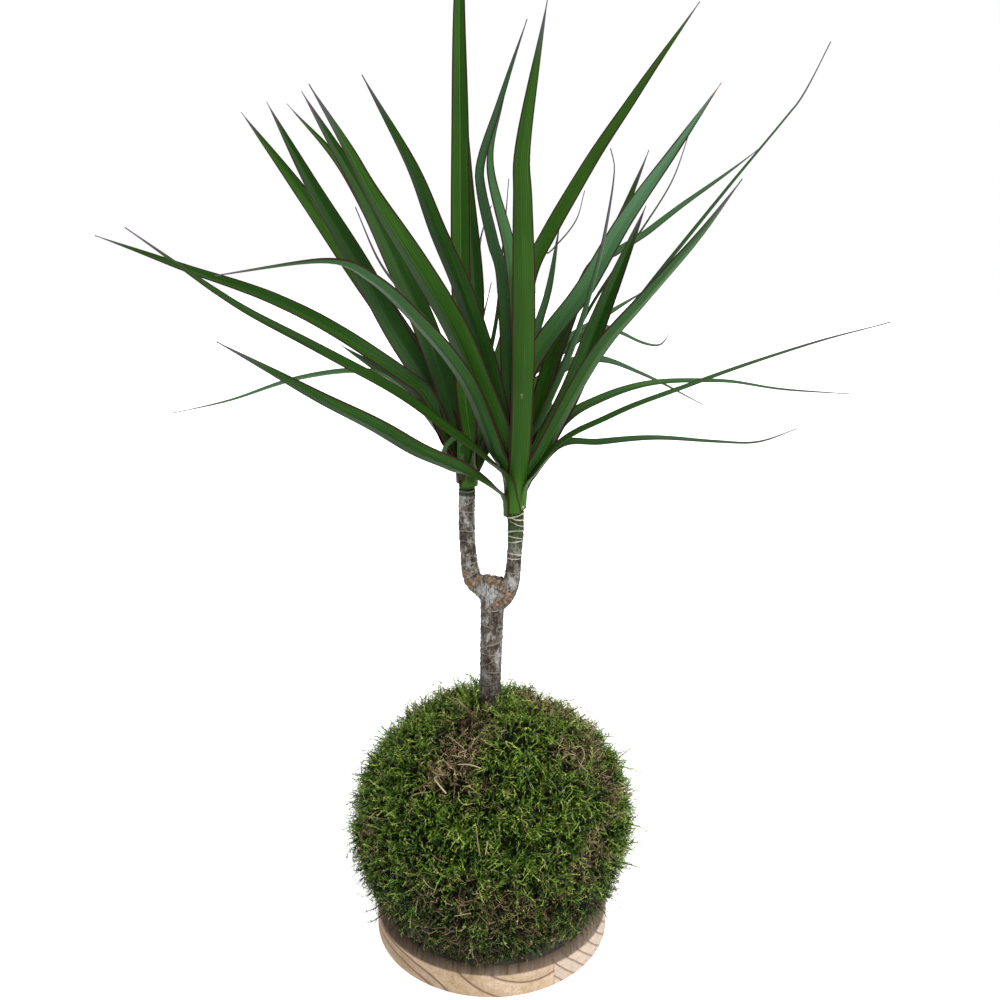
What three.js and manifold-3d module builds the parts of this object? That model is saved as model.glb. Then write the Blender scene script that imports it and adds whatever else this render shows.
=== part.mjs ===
// A kokedama: a young dragon tree whose root ball is wrapped in moss, bound with clear thread and stood
// on a turned wooden saucer. Millimetres, +Z up, the front towards -Y. The origin is the centre of the
// saucer's flat underside.
import * as THREE from "three";
import { mergeVertices } from "three/addons/utils/BufferGeometryUtils.js";
import Module from "manifold-3d";

const wasm = await Module();
wasm.setup();

// Space kept between two pieces that touch.
const CLEAR = 0.3;

// Saucer.
const SAUCER_RADIUS = 60;
const SAUCER_HEIGHT = 12.8;
const RIM_WIDTH = 7.5;
const RECESS_DEPTH = 3;
const FOOT_BEVEL = 1.2;
const RIM_ARRIS = 0.4;
const SAUCER_SIDES = 60;
const SAUCER_FLOOR = SAUCER_HEIGHT - RECESS_DEPTH;

// Moss-wrapped ball of soil, before its tufts.
const BALL_RADIUS = 69;
const BALL_HALF_HEIGHT = 66.5;
const BALL_CENTRE_Z = 58;
const BALL_BASE_Z = SAUCER_FLOOR + CLEAR;
const BASE_ROUNDING = 3;
const BASE_FLAT = 0.1;
const MOSS_DETAIL = 11;
const MOSS_THICKNESS = 9;
const TUFT_HEIGHT = 4.5;
const TUFT_STEP = 0.618034;
const SOIL_DETAIL = 5;
const SOIL_LUMP = 0.6;

// Clear thread wound round the moss. Each turn lies in a plane that passes `offset` from the ball's
// centre, square to `normal`.
const THREAD_RADIUS = 0.3;
const THREAD_SIDES = 4;
const THREAD_STEPS = 40;
const THREAD_SEAT = 1;
const THREAD_FURROW = 5;
const FURROW_EDGE = 9;
const FURROW_DEPTH = 1.3;
const THREAD_TURNS = [
  { normal: new THREE.Vector3(0.67, 0.72, 0.18), offset: 0 },
  { normal: new THREE.Vector3(0.81, 0.56, 0.18), offset: 0 },
  { normal: new THREE.Vector3(-0.7, 0.69, -0.19), offset: 0 },
  { normal: new THREE.Vector3(0.35, -0.3, 0.89), offset: -5 },
];

// Woody stem: its foot in the soil, the fork, and the two arms that carry the leafy heads. A route is a
// list of [x, y, z, radius].
const STEM_SIDES = 10;
const SCAR_SPACING = 9;
const SCAR_DEPTH = 0.25;
const STEM_HOLE_GAP = 1;
const STEM_FOOT_RADIUS = 5;
const STEM_FOOT = [-0.8, 0, 52, STEM_FOOT_RADIUS];
const TRUNK_ROUTE = [
  STEM_FOOT,
  [-0.8, 0, 100, 5.2],
  [-0.8, 0, 132, 5.5],
  [-0.2, 0, 158, 5.6],
  [0.4, 0, 173, 5.6],
  [0.8, 0, 183, 6.2],
  [0.2, 0.3, 189.5, 4.2],
];
const LEFT_ARM_ROUTE = [
  [0, 0.5, 174, 5],
  [-5.6, 1.5, 182, 4.7],
  [-9.6, 3, 190.5, 4.1],
  [-11.2, 4, 201, 3.9],
  [-11.8, 4, 216, 3.9],
  [-11.5, 4, 233.7, 3.9],
];
const RIGHT_ARM_ROUTE = [
  [1.2, -0.5, 174, 5],
  [6.4, -2, 182, 4.5],
  [9.7, -3, 191, 3.9],
  [11, -4, 203, 3.5],
  [11.7, -4, 215, 3.8],
  [11.3, -4, 226.7, 4.1],
];

// Leafy heads: a green shoot on the end of each arm, with its leaves round it.
const SHOOT_SIDES = 8;
const SHOOT_PROFILE = [
  [4.1, 0],
  [4.9, 4],
  [5.8, 14],
  [5.4, 24],
  [2.4, 42],
];
const LEAF_STEP = 30;
const LEAF_THICKNESS = 0.7;
const LEAF_FOLD = 0.24;
const LEAF_WIDEST = 0.35;
const LEAF_TAPER = 2;
const NARROW_LEAF = 7.5;
const NARROW_WIDEST = 0.15;
const NARROW_TAPER = 1.15;
const LEAF_TIP_WIDTH = 0.7;
const LEAF_BASE_WIDTH = 0.75;
const SHEATH_END = 0.12;
const LEAF_ROOT = 2.6;

// Each leaf: the height of its foot on the shoot, its greatest width, its roll about its own midrib in
// degrees, and the points that the midrib passes. The last point is the tip.
const RIGHT_LEAVES = [
  [4, 8, 45, [-4, -12, 242], [-22, -30, 257], [-46, -52, 273], [-69, -74, 291], [-98, -95, 313]],
  [6, 8, -40, [-4, -12, 255], [-21, -22, 273], [-48, -36, 291], [-98, -53, 321], [-140, -60, 353]],
  [4, 10, -10, [13, -12, 245], [14, -22, 280], [14, -38, 324], [13, -52, 363], [13, -58, 384], [21, -72, 431]],
  [7, 9, 20, [-11, -32, 290], [-30, -50, 317], [-45, -64, 333], [-61, -74, 340], [-98, -91, 336]],
  [9, 11, 25, [-5, -20, 287], [-19, -35, 319], [-44, -56, 363], [-53, -62, 381], [-65, -70, 403]],
  [12, 10.5, 35, [0, -12, 286], [-11, -22, 323], [-22, -28, 351], [-32, -32, 377], [-50, -37, 411]],
  [15, 6, 10, [-22, -15, 304], [-35, -25, 323], [-46, -31, 339], [-54, -40, 361]],
  [11, 10, 55, [25, 4, 295], [43, 14, 329], [63, 25, 358], [86, 36, 389], [109, 50, 420]],
  [9, 10.5, 35, [34, 8, 271], [43, 14, 290], [50, 20, 308], [62, 30, 336], [74, 40, 364]],
  [5, 8.5, -20, [36, -20, 280], [49, -30, 305], [64, -42, 325], [82, -60, 351], [93, -74, 370]],
  [8, 6, 25, [48, -15, 298], [84, -25, 350], [118, -30, 394], [126, -30, 405], [135, -30, 424]],
  [3.5, 7, 15, [31, -14, 258], [52, -20, 271], [77, -25, 283], [131, -32, 304], [167, -36, 315]],
  [6, 7, 20, [33, 10, 262], [52, 21, 273], [80, 34, 279], [115, 43, 279], [147, 50, 274], [188, 60, 270]],
  [4, 8, 15, [31, 6, 253], [52, 14, 253], [80, 22, 254], [110, 28, 251], [133, 33, 250], [154, 38, 256]],
  [14, 8, 10, [34, 20, 307], [59, 45, 349], [72, 58, 377], [78, 65, 391]],
  [16, 7, -10, [38, -6, 303], [46, -13, 333], [50, -18, 356], [52, -21, 376], [50, -22, 385]],
  [10, 5, -15, [39, 22, 300], [63, 42, 338], [75, 50, 354], [89, 57, 376], [97, 60, 399]],
  [12, 7.6, 5, [46, 48, 326], [61, 56, 340], [79, 66, 351], [103, 78, 368], [125, 88, 383], [140, 95, 394]],
  [17, 9.5, -30, [9, 4, 281], [7, 14, 330], [2, 17, 348], [-3, 20, 370], [-3, 20, 383], [5, 16, 408], [16, 10, 440]],
  [16, 9, 25, [11, 15, 303], [8, 30, 343], [-1, 34, 382], [6, 24, 411]],
  [15, 9, 25, [12, 6, 276], [17, 14, 326], [28, 24, 351], [46, 32, 381], [66, 39, 411], [97, 50, 455]],
  [18, 5.5, -30, [19, 62, 331], [31, 78, 342], [44, 88, 357], [49, 93, 373]],
  [18, 7.6, -30, [17, 20, 288], [24, 35, 308], [29, 47, 324], [34, 58, 355]],
  [4, 8, 15, [22, 40, 250], [29, 85, 255], [35, 130, 256]],
];
const LEFT_LEAVES = [
  [7, 11.5, -45, [-26, 18, 274], [-46, 33, 304], [-65, 50, 335], [-90, 68, 374], [-115, 88, 416]],
  [9, 10, -50, [-33, 33, 285], [-54, 60, 313], [-79, 88, 343], [-105, 110, 375], [-139, 132, 416]],
  [6, 8.5, -55, [-29, 12, 274], [-42, 18, 285], [-71, 26, 303], [-104, 36, 319], [-147, 46, 333], [-197, 56, 350]],
  [4, 6, 45, [-30, 28, 260], [-49, 48, 277], [-67, 58, 282], [-104, 76, 276], [-145, 90, 262], [-181, 100, 253]],
  [11, 8, -45, [-36, 50, 309], [-75, 95, 379], [-111, 120, 419]],
  [8, 10, -40, [-20, 16, 274], [-31, 28, 305], [-45, 38, 335], [-61, 46, 367], [-91, 56, 417]],
  [4.5, 9.2, 0, [-9.6, 2.2, 256], [-12.5, 6, 285], [-14, 18, 336], [-14, 25, 395], [-14, 30, 452], [-12, 36, 512]],
  [10, 9.5, 0, [-9, 25, 297], [-8, 36, 325], [-11, 50, 371], [-12, 60, 408]],
  [12, 7, -40, [-6, 40, 298], [-6, 62, 343], [0, 75, 365]],
  [13, 5, -45, [-6, 40, 298], [0, 60, 327]],
  [14, 5, -40, [2, 60, 303], [6, 85, 343], [9, 95, 379]],
  [5, 7, 25, [-18, 30, 252], [-26, 75, 234]],
  [8, 7.6, 45, [4, 45, 270], [37, 95, 289], [61, 116, 299], [88, 131, 289], [99, 136, 288], [105, 138, 296]],
  [5, 7.6, 35, [7, 40, 263], [36, 80, 280], [60, 98, 283], [88, 110, 272], [122, 118, 255]],
  [10, 7.6, 15, [4, 55, 273], [46, 105, 296], [93, 140, 321]],
  [11, 9, 25, [-14, 40, 280], [-16, 90, 317], [-19, 130, 353]],
  [8, 9, -10, [-28, 40, 270], [-53, 95, 297], [-82, 150, 333]],
  [8, 5, 0, [-19, 5, 261], [-25, 6, 254], [-29, 7, 245]],
  [4, 8, -20, [-31, 45, 267], [-60, 100, 275], [-92, 150, 286]],
  [9, 9, -10, [-1, 50, 269], [9, 100, 300], [16, 150, 336]],
  [5, 8, 0, [-12, 60, 251], [-10, 120, 258], [-10, 170, 256]],
  [4, 8, 40, [-1, 60, 251], [16, 120, 258], [29, 165, 257]],
];

// Finishes.
const WOOD = new THREE.MeshStandardMaterial({ color: 0xc9a988, roughness: 0.75, metalness: 0 });
const SOIL = new THREE.MeshStandardMaterial({ color: 0x33261c, roughness: 1, metalness: 0 });
const MOSS = new THREE.MeshStandardMaterial({ color: 0x3f6b1d, roughness: 0.95, metalness: 0 });
const CLEAR_NYLON = new THREE.MeshStandardMaterial({ color: 0xdfe8ea, roughness: 0.2, metalness: 0 });
const BARK = new THREE.MeshStandardMaterial({ color: 0x8b8176, roughness: 0.9, metalness: 0 });
const LEAF = new THREE.MeshStandardMaterial({ color: 0x2f6b1f, roughness: 0.4, metalness: 0 });

/** The geometry with only its positions left, its shared corners merged and no flat triangle. */
function closed(geometry) {
  geometry.deleteAttribute("normal");
  geometry.deleteAttribute("uv");
  const merged = mergeVertices(geometry, 1e-4);
  const index = merged.index.array;
  const kept = [];
  for (let i = 0; i < index.length; i += 3) {
    const [a, b, c] = index.subarray(i, i + 3);
    if (a !== b && b !== c && c !== a) kept.push(a, b, c);
  }
  merged.setIndex(kept);
  return merged;
}

/** A closed geometry as a solid that can be joined and cut. */
function solid(geometry) {
  const merged = closed(geometry);
  return new wasm.Manifold(
    new wasm.Mesh({
      numProp: 3,
      vertProperties: new Float32Array(merged.attributes.position.array),
      triVerts: new Uint32Array(merged.index.array),
    }),
  );
}

/** The largest body of a solid, as a geometry. */
function geometryOf(body) {
  const parts = body.decompose().sort((a, b) => b.volume() - a.volume());
  const mesh = parts[0].getMesh();
  const geometry = new THREE.BufferGeometry();
  geometry.setAttribute("position", new THREE.BufferAttribute(mesh.vertProperties, 3));
  geometry.setIndex(new THREE.BufferAttribute(mesh.triVerts, 1));
  return geometry;
}

/** A named sub-part. */
function piece(name, geometry, material) {
  const mesh = new THREE.Mesh(geometry, material);
  mesh.name = name;
  return mesh;
}

/** A closed skin over rings of points that run the same way round. The second half of every ring is
 *  split like the half that faces it, so that the two faces of a twisted blade never cross. */
function loft(rings) {
  const count = rings[0].length;
  const index = [];
  const quad = (a, b, c, d, turned) => index.push(...(turned ? [a, b, d, b, c, d] : [a, b, c, a, c, d]));
  for (let ring = 0; ring < rings.length - 1; ring++) {
    for (let corner = 0; corner < count; corner++) {
      const next = (corner + 1) % count;
      const low = ring * count;
      const high = low + count;
      quad(low + corner, low + next, high + next, high + corner, corner >= count / 2);
    }
  }
  const last = (rings.length - 1) * count;
  for (let i = 0; i < count / 2 - 1; i++) {
    const facing = count - 1 - i;
    quad(facing, facing - 1, i + 1, i, false);
    quad(last + i, last + i + 1, last + facing - 1, last + facing, false);
  }
  const geometry = new THREE.BufferGeometry();
  const corners = rings.flat().flatMap((point) => point.toArray());
  geometry.setAttribute("position", new THREE.Float32BufferAttribute(corners, 3));
  geometry.setIndex(index);
  return geometry;
}

/** A profile of [radius, height] pairs turned round the vertical line through `foot`. */
function turned(profile, sides, foot = new THREE.Vector3()) {
  const points = profile.map(([radius, height]) => new THREE.Vector2(radius, height));
  const geometry = new THREE.LatheGeometry(points, sides);
  geometry.rotateX(Math.PI / 2);
  geometry.translate(...foot.toArray());
  return geometry;
}

/** 0 below `from`, 1 above `to`, and a smooth ramp between them. */
const ramp = (value, from, to) => THREE.MathUtils.smoothstep(value, from, to);

/** How near a direction from the ball's centre is to a turn of the thread: 1 on it, 0 well clear. */
function threadPull(direction) {
  const gaps = THREAD_TURNS.map(({ normal, offset }) =>
    Math.abs(direction.dot(normal.clone().normalize()) * BALL_RADIUS - offset),
  );
  return 1 - ramp(Math.min(...gaps), THREAD_FURROW, FURROW_EDGE);
}

/** The point of the ball's surface in a direction, `rise` proud of it, with its base at `baseZ`. */
function ballPoint(direction, rise, baseZ) {
  const turn = Math.atan2(direction.y, direction.x);
  const girth = Math.hypot(direction.x, direction.y);
  const lumps = 1 + 0.012 * girth * Math.sin(3 * turn + 1) + 0.008 * Math.sin(2 * turn + 4 * direction.z);
  const point = new THREE.Vector3(
    direction.x * (BALL_RADIUS * lumps + rise),
    direction.y * (BALL_RADIUS * lumps + rise),
    BALL_CENTRE_Z + direction.z * (BALL_HALF_HEIGHT * lumps + rise),
  );
  const above = (point.z - baseZ) / BASE_ROUNDING;
  point.z = Math.max(baseZ + BASE_ROUNDING * Math.log1p(Math.exp(above)), baseZ + BASE_FLAT);
  return point;
}

/** An icosphere whose every corner is moved to where `place` puts its direction. */
function shapedBall(detail, place) {
  const geometry = closed(new THREE.IcosahedronGeometry(1, detail));
  const corners = geometry.attributes.position;
  const direction = new THREE.Vector3();
  for (let i = 0; i < corners.count; i++) {
    direction.fromBufferAttribute(corners, i).normalize();
    corners.setXYZ(i, ...place(direction, i).toArray());
  }
  return geometry;
}

/** The upright hole that the stem stands in, `radius` wide, from `from` to `to`. */
function stemHole(radius, from, to) {
  const geometry = new THREE.CylinderGeometry(radius, radius, to - from, STEM_SIDES);
  geometry.rotateX(Math.PI / 2);
  geometry.translate(STEM_FOOT[0], STEM_FOOT[1], (from + to) / 2);
  return solid(geometry);
}

function makeSaucer() {
  const recessRadius = SAUCER_RADIUS - RIM_WIDTH;
  const profile = [
    [0, 0],
    [SAUCER_RADIUS - FOOT_BEVEL, 0],
    [SAUCER_RADIUS, FOOT_BEVEL],
    [SAUCER_RADIUS, SAUCER_HEIGHT - RIM_ARRIS],
    [SAUCER_RADIUS - RIM_ARRIS, SAUCER_HEIGHT],
    [recessRadius, SAUCER_HEIGHT],
    [recessRadius, SAUCER_FLOOR],
    [0, SAUCER_FLOOR],
  ];
  return piece("saucer", closed(turned(profile, SAUCER_SIDES)), WOOD);
}

const soilBase = BALL_BASE_Z + MOSS_THICKNESS;
const soilPoint = (direction, rise) => ballPoint(direction, rise - MOSS_THICKNESS, soilBase - rise);

function makeSoil() {
  const ball = shapedBall(SOIL_DETAIL, (direction, i) =>
    soilPoint(direction, -SOIL_LUMP * ((i * TUFT_STEP) % 1)),
  );
  const holeFoot = STEM_FOOT[2] - CLEAR;
  const hole = stemHole(STEM_FOOT_RADIUS + STEM_HOLE_GAP, holeFoot, BALL_CENTRE_Z + BALL_RADIUS);
  return piece("soil_ball", geometryOf(solid(ball).subtract(hole)), SOIL);
}

function makeMoss() {
  const outside = shapedBall(MOSS_DETAIL, (direction, i) => {
    const pull = threadPull(direction);
    const smooth = ballPoint(direction, 0, BALL_BASE_Z);
    const standing = ramp(smooth.z, BALL_BASE_Z + 4, BALL_BASE_Z + 16);
    const tuft = TUFT_HEIGHT * ((i * TUFT_STEP) % 1) * (1 - pull) * standing;
    return ballPoint(direction, tuft, BALL_BASE_Z + FURROW_DEPTH * pull);
  });
  const inside = shapedBall(SOIL_DETAIL, (direction) => soilPoint(direction, CLEAR));
  const neck = stemHole(TRUNK_ROUTE[2][3] + STEM_HOLE_GAP, BALL_CENTRE_Z, BALL_CENTRE_Z + 2 * BALL_RADIUS);
  return piece("moss_wrap", geometryOf(solid(outside).subtract(solid(inside)).subtract(neck)), MOSS);
}

/** One turn of the thread: a ring of small sections that follows the ball's surface. */
function threadTurn({ normal, offset }) {
  const axis = normal.clone().normalize();
  const first = new THREE.Vector3(0, 0, 1).cross(axis).normalize();
  const second = axis.clone().cross(first);
  const height = offset / BALL_RADIUS;
  const spread = Math.sqrt(1 - height * height);
  const baseZ = SAUCER_FLOOR + CLEAR + THREAD_RADIUS;
  const route = [];
  for (let step = 0; step < THREAD_STEPS; step++) {
    const angle = (step / THREAD_STEPS) * 2 * Math.PI;
    const direction = axis.clone().multiplyScalar(height);
    direction.addScaledVector(first, spread * Math.cos(angle));
    direction.addScaledVector(second, spread * Math.sin(angle));
    route.push(ballPoint(direction, THREAD_SEAT, baseZ));
  }
  const path = new THREE.CatmullRomCurve3(route, true, "catmullrom", 0.5);
  const outline = new THREE.Shape();
  for (let side = 0; side < THREAD_SIDES; side++) {
    const angle = (side / THREAD_SIDES) * 2 * Math.PI;
    const move = side === 0 ? "moveTo" : "lineTo";
    outline[move](THREAD_RADIUS * Math.cos(angle), THREAD_RADIUS * Math.sin(angle));
  }
  outline.closePath();
  return new THREE.ExtrudeGeometry(outline, { steps: THREAD_STEPS, extrudePath: path });
}

function makeThread() {
  const turns = THREAD_TURNS.map((turn) => solid(threadTurn(turn)));
  return piece("binding_thread", geometryOf(wasm.Manifold.union(turns)), CLEAR_NYLON);
}

/** A stretch of stem along a route of [x, y, z, radius], ringed by the scars of fallen leaves. */
function stem(route) {
  const curve = new THREE.CatmullRomCurve3(
    route.map(([x, y, z]) => new THREE.Vector3(x, y, z)), false, "catmullrom", 0.5,
  );
  const steps = Math.round(curve.getLength() / SCAR_SPACING) * 2;
  const rings = [];
  for (let step = 0; step <= steps; step++) {
    const along = step / steps;
    const centre = curve.getPointAt(along);
    const tangent = curve.getTangentAt(along);
    const place = curve.getUtoTmapping(along) * (route.length - 1);
    const before = Math.min(Math.floor(place), route.length - 2);
    const radius = THREE.MathUtils.lerp(route[before][3], route[before + 1][3], place - before);
    const scar = step % 2 === 0 ? SCAR_DEPTH : 0;
    const across = new THREE.Vector3(0, 1, 0).cross(tangent).normalize();
    const beside = tangent.clone().cross(across);
    const ring = [];
    for (let side = 0; side < STEM_SIDES; side++) {
      const angle = (side / STEM_SIDES) * 2 * Math.PI;
      const point = centre.clone();
      point.addScaledVector(across, (radius + scar) * Math.cos(angle));
      point.addScaledVector(beside, (radius + scar) * Math.sin(angle));
      ring.push(point);
    }
    rings.push(ring);
  }
  return solid(loft(rings));
}

function makeTrunk() {
  const body = stem(TRUNK_ROUTE).add(stem(LEFT_ARM_ROUTE)).add(stem(RIGHT_ARM_ROUTE));
  return piece("trunk", geometryOf(body), BARK);
}

/** A leaf's width at a share of its length. A narrow leaf runs out sooner, to a longer hair. */
function leafOutline(width, along) {
  const sheath = THREE.MathUtils.lerp(LEAF_BASE_WIDTH, 1, Math.min(along / SHEATH_END, 1));
  const narrow = width <= NARROW_LEAF;
  const widest = narrow ? NARROW_WIDEST : LEAF_WIDEST;
  const taper = Math.max(along - widest, 0) / (1 - widest);
  return width * sheath * (1 - taper ** (narrow ? NARROW_TAPER : LEAF_TAPER));
}

/** One blade: a shallow channel in section, with a square edge, drawn out to a fine tip. */
function leaf(foot, [rise, width, roll, ...route]) {
  const points = route.map((point) => new THREE.Vector3(...point));
  const outward = points[0].clone().sub(foot).setZ(0).normalize();
  const start = foot.clone().setZ(foot.z + rise).addScaledVector(outward, LEAF_ROOT);
  const curve = new THREE.CatmullRomCurve3([start, ...points], false, "catmullrom", 0.5);
  outward.copy(points.at(-1)).sub(start).setZ(0).normalize();
  const level = new THREE.Vector3(0, 0, 1).cross(outward);
  const steps = Math.round(curve.getLength() / LEAF_STEP) + 1;
  const rings = [];
  for (let step = 0; step <= steps; step++) {
    const along = step / steps;
    const centre = curve.getPointAt(along);
    const tangent = curve.getTangentAt(along);
    const across = level.clone().addScaledVector(tangent, -level.dot(tangent)).normalize();
    across.applyAxisAngle(tangent, THREE.MathUtils.degToRad(roll));
    const face = tangent.clone().cross(across);
    const half = Math.max(leafOutline(width, along), LEAF_TIP_WIDTH) / 2;
    const lift = half * LEAF_FOLD;
    const corner = (side, up) => {
      const point = centre.clone().addScaledVector(across, side * half);
      return point.addScaledVector(face, Math.abs(side) * lift + (up * LEAF_THICKNESS) / 2);
    };
    rings.push([corner(-1, -1), corner(0, -1), corner(1, -1), corner(1, 1), corner(0, 1), corner(-1, 1)]);
  }
  return solid(loft(rings));
}

/** A green shoot with its leaves, as one body. It stands on the top of an arm. */
function makeHead(name, armRoute, leaves) {
  const foot = new THREE.Vector3(...armRoute.at(-1)).setZ(armRoute.at(-1)[2] + CLEAR);
  const top = SHOOT_PROFILE.at(-1)[1];
  const shoot = solid(turned([[0, 0], ...SHOOT_PROFILE, [0, top]], SHOOT_SIDES, foot));
  const blades = leaves.map((row) => leaf(foot, row));
  return piece(name, geometryOf(wasm.Manifold.union([shoot, ...blades])), LEAF);
}

const kokedama = new THREE.Group();
kokedama.add(
  makeSaucer(),
  makeSoil(),
  makeMoss(),
  makeThread(),
  makeTrunk(),
  makeHead("left_head", LEFT_ARM_ROUTE, LEFT_LEAVES),
  makeHead("right_head", RIGHT_ARM_ROUTE, RIGHT_LEAVES),
);

export default kokedama;
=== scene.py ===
# %% [markdown]
# # A kokedama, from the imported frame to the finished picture
#
# A kokedama is a plant whose root ball is wrapped in moss instead of standing in a pot. This one is a young
# dragon tree with a forked stem, on a turned wooden saucer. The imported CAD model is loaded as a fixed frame,
# and each cell below makes one piece where its solid stands, in metres.

import math
import random

import bmesh
import bpy
import numpy as np
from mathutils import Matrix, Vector, noise


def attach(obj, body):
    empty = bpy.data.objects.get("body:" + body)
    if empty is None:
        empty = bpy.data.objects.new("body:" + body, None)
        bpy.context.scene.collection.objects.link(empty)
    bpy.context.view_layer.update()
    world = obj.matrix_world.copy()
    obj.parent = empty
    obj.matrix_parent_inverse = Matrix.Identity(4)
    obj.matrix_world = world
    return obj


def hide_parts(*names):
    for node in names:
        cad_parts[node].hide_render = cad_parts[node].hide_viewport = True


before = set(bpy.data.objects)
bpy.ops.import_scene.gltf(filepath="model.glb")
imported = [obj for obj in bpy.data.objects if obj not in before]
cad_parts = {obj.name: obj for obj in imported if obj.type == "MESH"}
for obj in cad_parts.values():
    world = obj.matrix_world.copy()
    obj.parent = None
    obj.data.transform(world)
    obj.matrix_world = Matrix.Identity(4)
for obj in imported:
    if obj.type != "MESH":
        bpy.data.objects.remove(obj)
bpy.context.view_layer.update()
scene = bpy.context.scene
MM = 0.001
WELD = 1e-6
SEED = 11
random.seed(SEED)
noise.seed_set(SEED)
chance = np.random.default_rng(SEED)


def in_scene(name, data):
    """Makes an object of the data and links it to the scene."""
    thing = bpy.data.objects.new(name, data)
    scene.collection.objects.link(thing)
    return thing


# %% [markdown]
# The camera stands in front of the plant, a little above the fork, and looks down at the saucer. Its place
# was worked out from the two ellipses of the saucer, so that the picture and the model share one view.

# %% The camera
CAMERA_PLACE = (4.2 * MM, -458 * MM, 350 * MM)
LOOK_DOWN = 14.8

camera_data = bpy.data.cameras.new("camera")
camera_data.sensor_width = 36
camera_data.lens = 36
camera_data.clip_start = 0.01
camera = in_scene("camera", camera_data)
camera.location = CAMERA_PLACE
camera.rotation_euler = (math.radians(90 - LOOK_DOWN), 0, 0)
scene.camera = camera

# %% [markdown]
# A material is a tree of nodes. Two small classes keep the trees readable: a Wire is one output of a node,
# and sums written on it add Math nodes. A Finish is a material, with methods that add the other nodes.

# %% Finishes as sums of nodes


class Wire:
    """One output of a node. A sum written on it adds a Math node to the same finish."""

    def __init__(self, finish, socket):
        self.finish = finish
        self.socket = socket

    def __add__(self, other):
        return self.finish.math("ADD", self, other)

    def __sub__(self, other):
        return self.finish.math("SUBTRACT", self, other)

    def __rsub__(self, other):
        return self.finish.math("SUBTRACT", other, self)

    def __mul__(self, other):
        return self.finish.math("MULTIPLY", self, other)

    def __pow__(self, other):
        return self.finish.math("POWER", self, other)

    __radd__ = __add__
    __rmul__ = __mul__

    def rise(self, low, high):
        """0 below `low`, 1 above `high`, and a smooth ramp between them."""
        sockets = {"Value": self, "From Min": low, "From Max": high}
        return self.finish.node("ShaderNodeMapRange", {"interpolation_type": "SMOOTHSTEP"}, sockets)


class Finish:
    """A material that is being made."""

    def __init__(self, name):
        self.material = bpy.data.materials.new(name)
        self.material.use_nodes = True
        self.tree = self.material.node_tree
        self.tree.nodes.clear()

    def node(self, kind, settings=None, sockets=None, output=0):
        """Adds a node: its settings first, then the values or wires of its sockets."""
        node = self.tree.nodes.new(kind)
        for name, value in (settings or {}).items():
            setattr(node, name, value)
        for name, value in (sockets or {}).items():
            if isinstance(value, Wire):
                self.tree.links.new(value.socket, node.inputs[name])
            else:
                node.inputs[name].default_value = value
        return Wire(self, node.outputs[output])

    def math(self, operation, first, second=0):
        return self.node("ShaderNodeMath", {"operation": operation}, {0: first, 1: second})

    def place(self):
        """Where a point of the piece lies, in metres."""
        return self.node("ShaderNodeTexCoord", output=3)

    def axes(self):
        """The same place as three numbers."""
        split = self.node("ShaderNodeSeparateXYZ", sockets={0: self.place()}).socket.node
        return [Wire(self, output) for output in split.outputs]

    def stretched(self, scale, turn=(0, 0, 0)):
        """The same place, turned and then scaled along each axis."""
        sockets = {"Vector": self.place(), "Rotation": turn, "Scale": scale}
        return self.node("ShaderNodeMapping", {"vector_type": "POINT"}, sockets)

    def carried(self, name):
        """A number that the mesh carries at each of its corners."""
        return self.node("ShaderNodeAttribute", {"attribute_name": name}, output=2)

    def cloud(self, where, scale, detail, roughness):
        """Noise from 0 to 1."""
        sockets = {"Vector": where, "Scale": scale, "Detail": detail, "Roughness": roughness}
        return self.node("ShaderNodeTexNoise", sockets=sockets)

    def layered(self, colour, *coats):
        """A colour with others laid over it in turn, each with its share."""
        for over, share in coats:
            first, second = [(*c, 1) if isinstance(c, tuple) else c for c in (colour, over)]
            sockets = {0: share, 6: first, 7: second}
            colour = self.node("ShaderNodeMix", {"data_type": "RGBA"}, sockets, output=2)
        return colour

    def ramp(self, value, *stops):
        """A colour for each value, from (place, colour) stops."""
        wire = self.node("ShaderNodeValToRGB", sockets={"Fac": value})
        elements = wire.socket.node.color_ramp.elements
        while len(elements) < len(stops):
            elements.new(1)
        for element, (place, colour) in zip(elements, stops):
            element.position = place
            element.color = (*colour, 1)
        return wire

    def relief(self, height, depth):
        """A bumped normal from a height of 0 to 1 that stands for `depth` metres."""
        return self.node("ShaderNodeBump", sockets={"Strength": 1, "Distance": depth, "Height": height})

    def done(self, **sockets):
        """Ends the tree with a Principled shader and gives the material back."""
        names = {name.replace("_", " "): value for name, value in sockets.items()}
        shader = self.node("ShaderNodeBsdfPrincipled", sockets=names)
        out = self.tree.nodes.new("ShaderNodeOutputMaterial")
        self.tree.links.new(shader.socket, out.inputs["Surface"])
        return self.material


# %% [markdown]
# Every piece is made in a bmesh, or in NumPy arrays where a small shape is repeated thousands of times.
# Two helpers turn it into an object at the origin, give it its finish and hook it to the frame.

# %% From a bmesh to a piece


def hooked(name, mesh, material, slot, *nodes):
    """Puts a mesh in the scene as a piece of the part, in place of the named solids."""
    mesh.materials.append(material)
    piece = in_scene(name, mesh)
    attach(piece, "root")
    if nodes:
        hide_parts(*nodes)
    print(name, len(mesh.polygons), "faces")
    return piece


def finished(name, bm, material, slot, *nodes, sharp=None):
    """Ends a bmesh as a smooth piece. Edges sharper than `sharp` degrees stay crisp."""
    bmesh.ops.recalc_face_normals(bm, faces=bm.faces)
    mesh = bpy.data.meshes.new(name)
    bm.to_mesh(mesh)
    bm.free()
    mesh.shade_smooth()
    if sharp:
        mesh.set_sharp_from_angle(angle=math.radians(sharp))
    return hooked(name, mesh, material, slot, *nodes)


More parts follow.
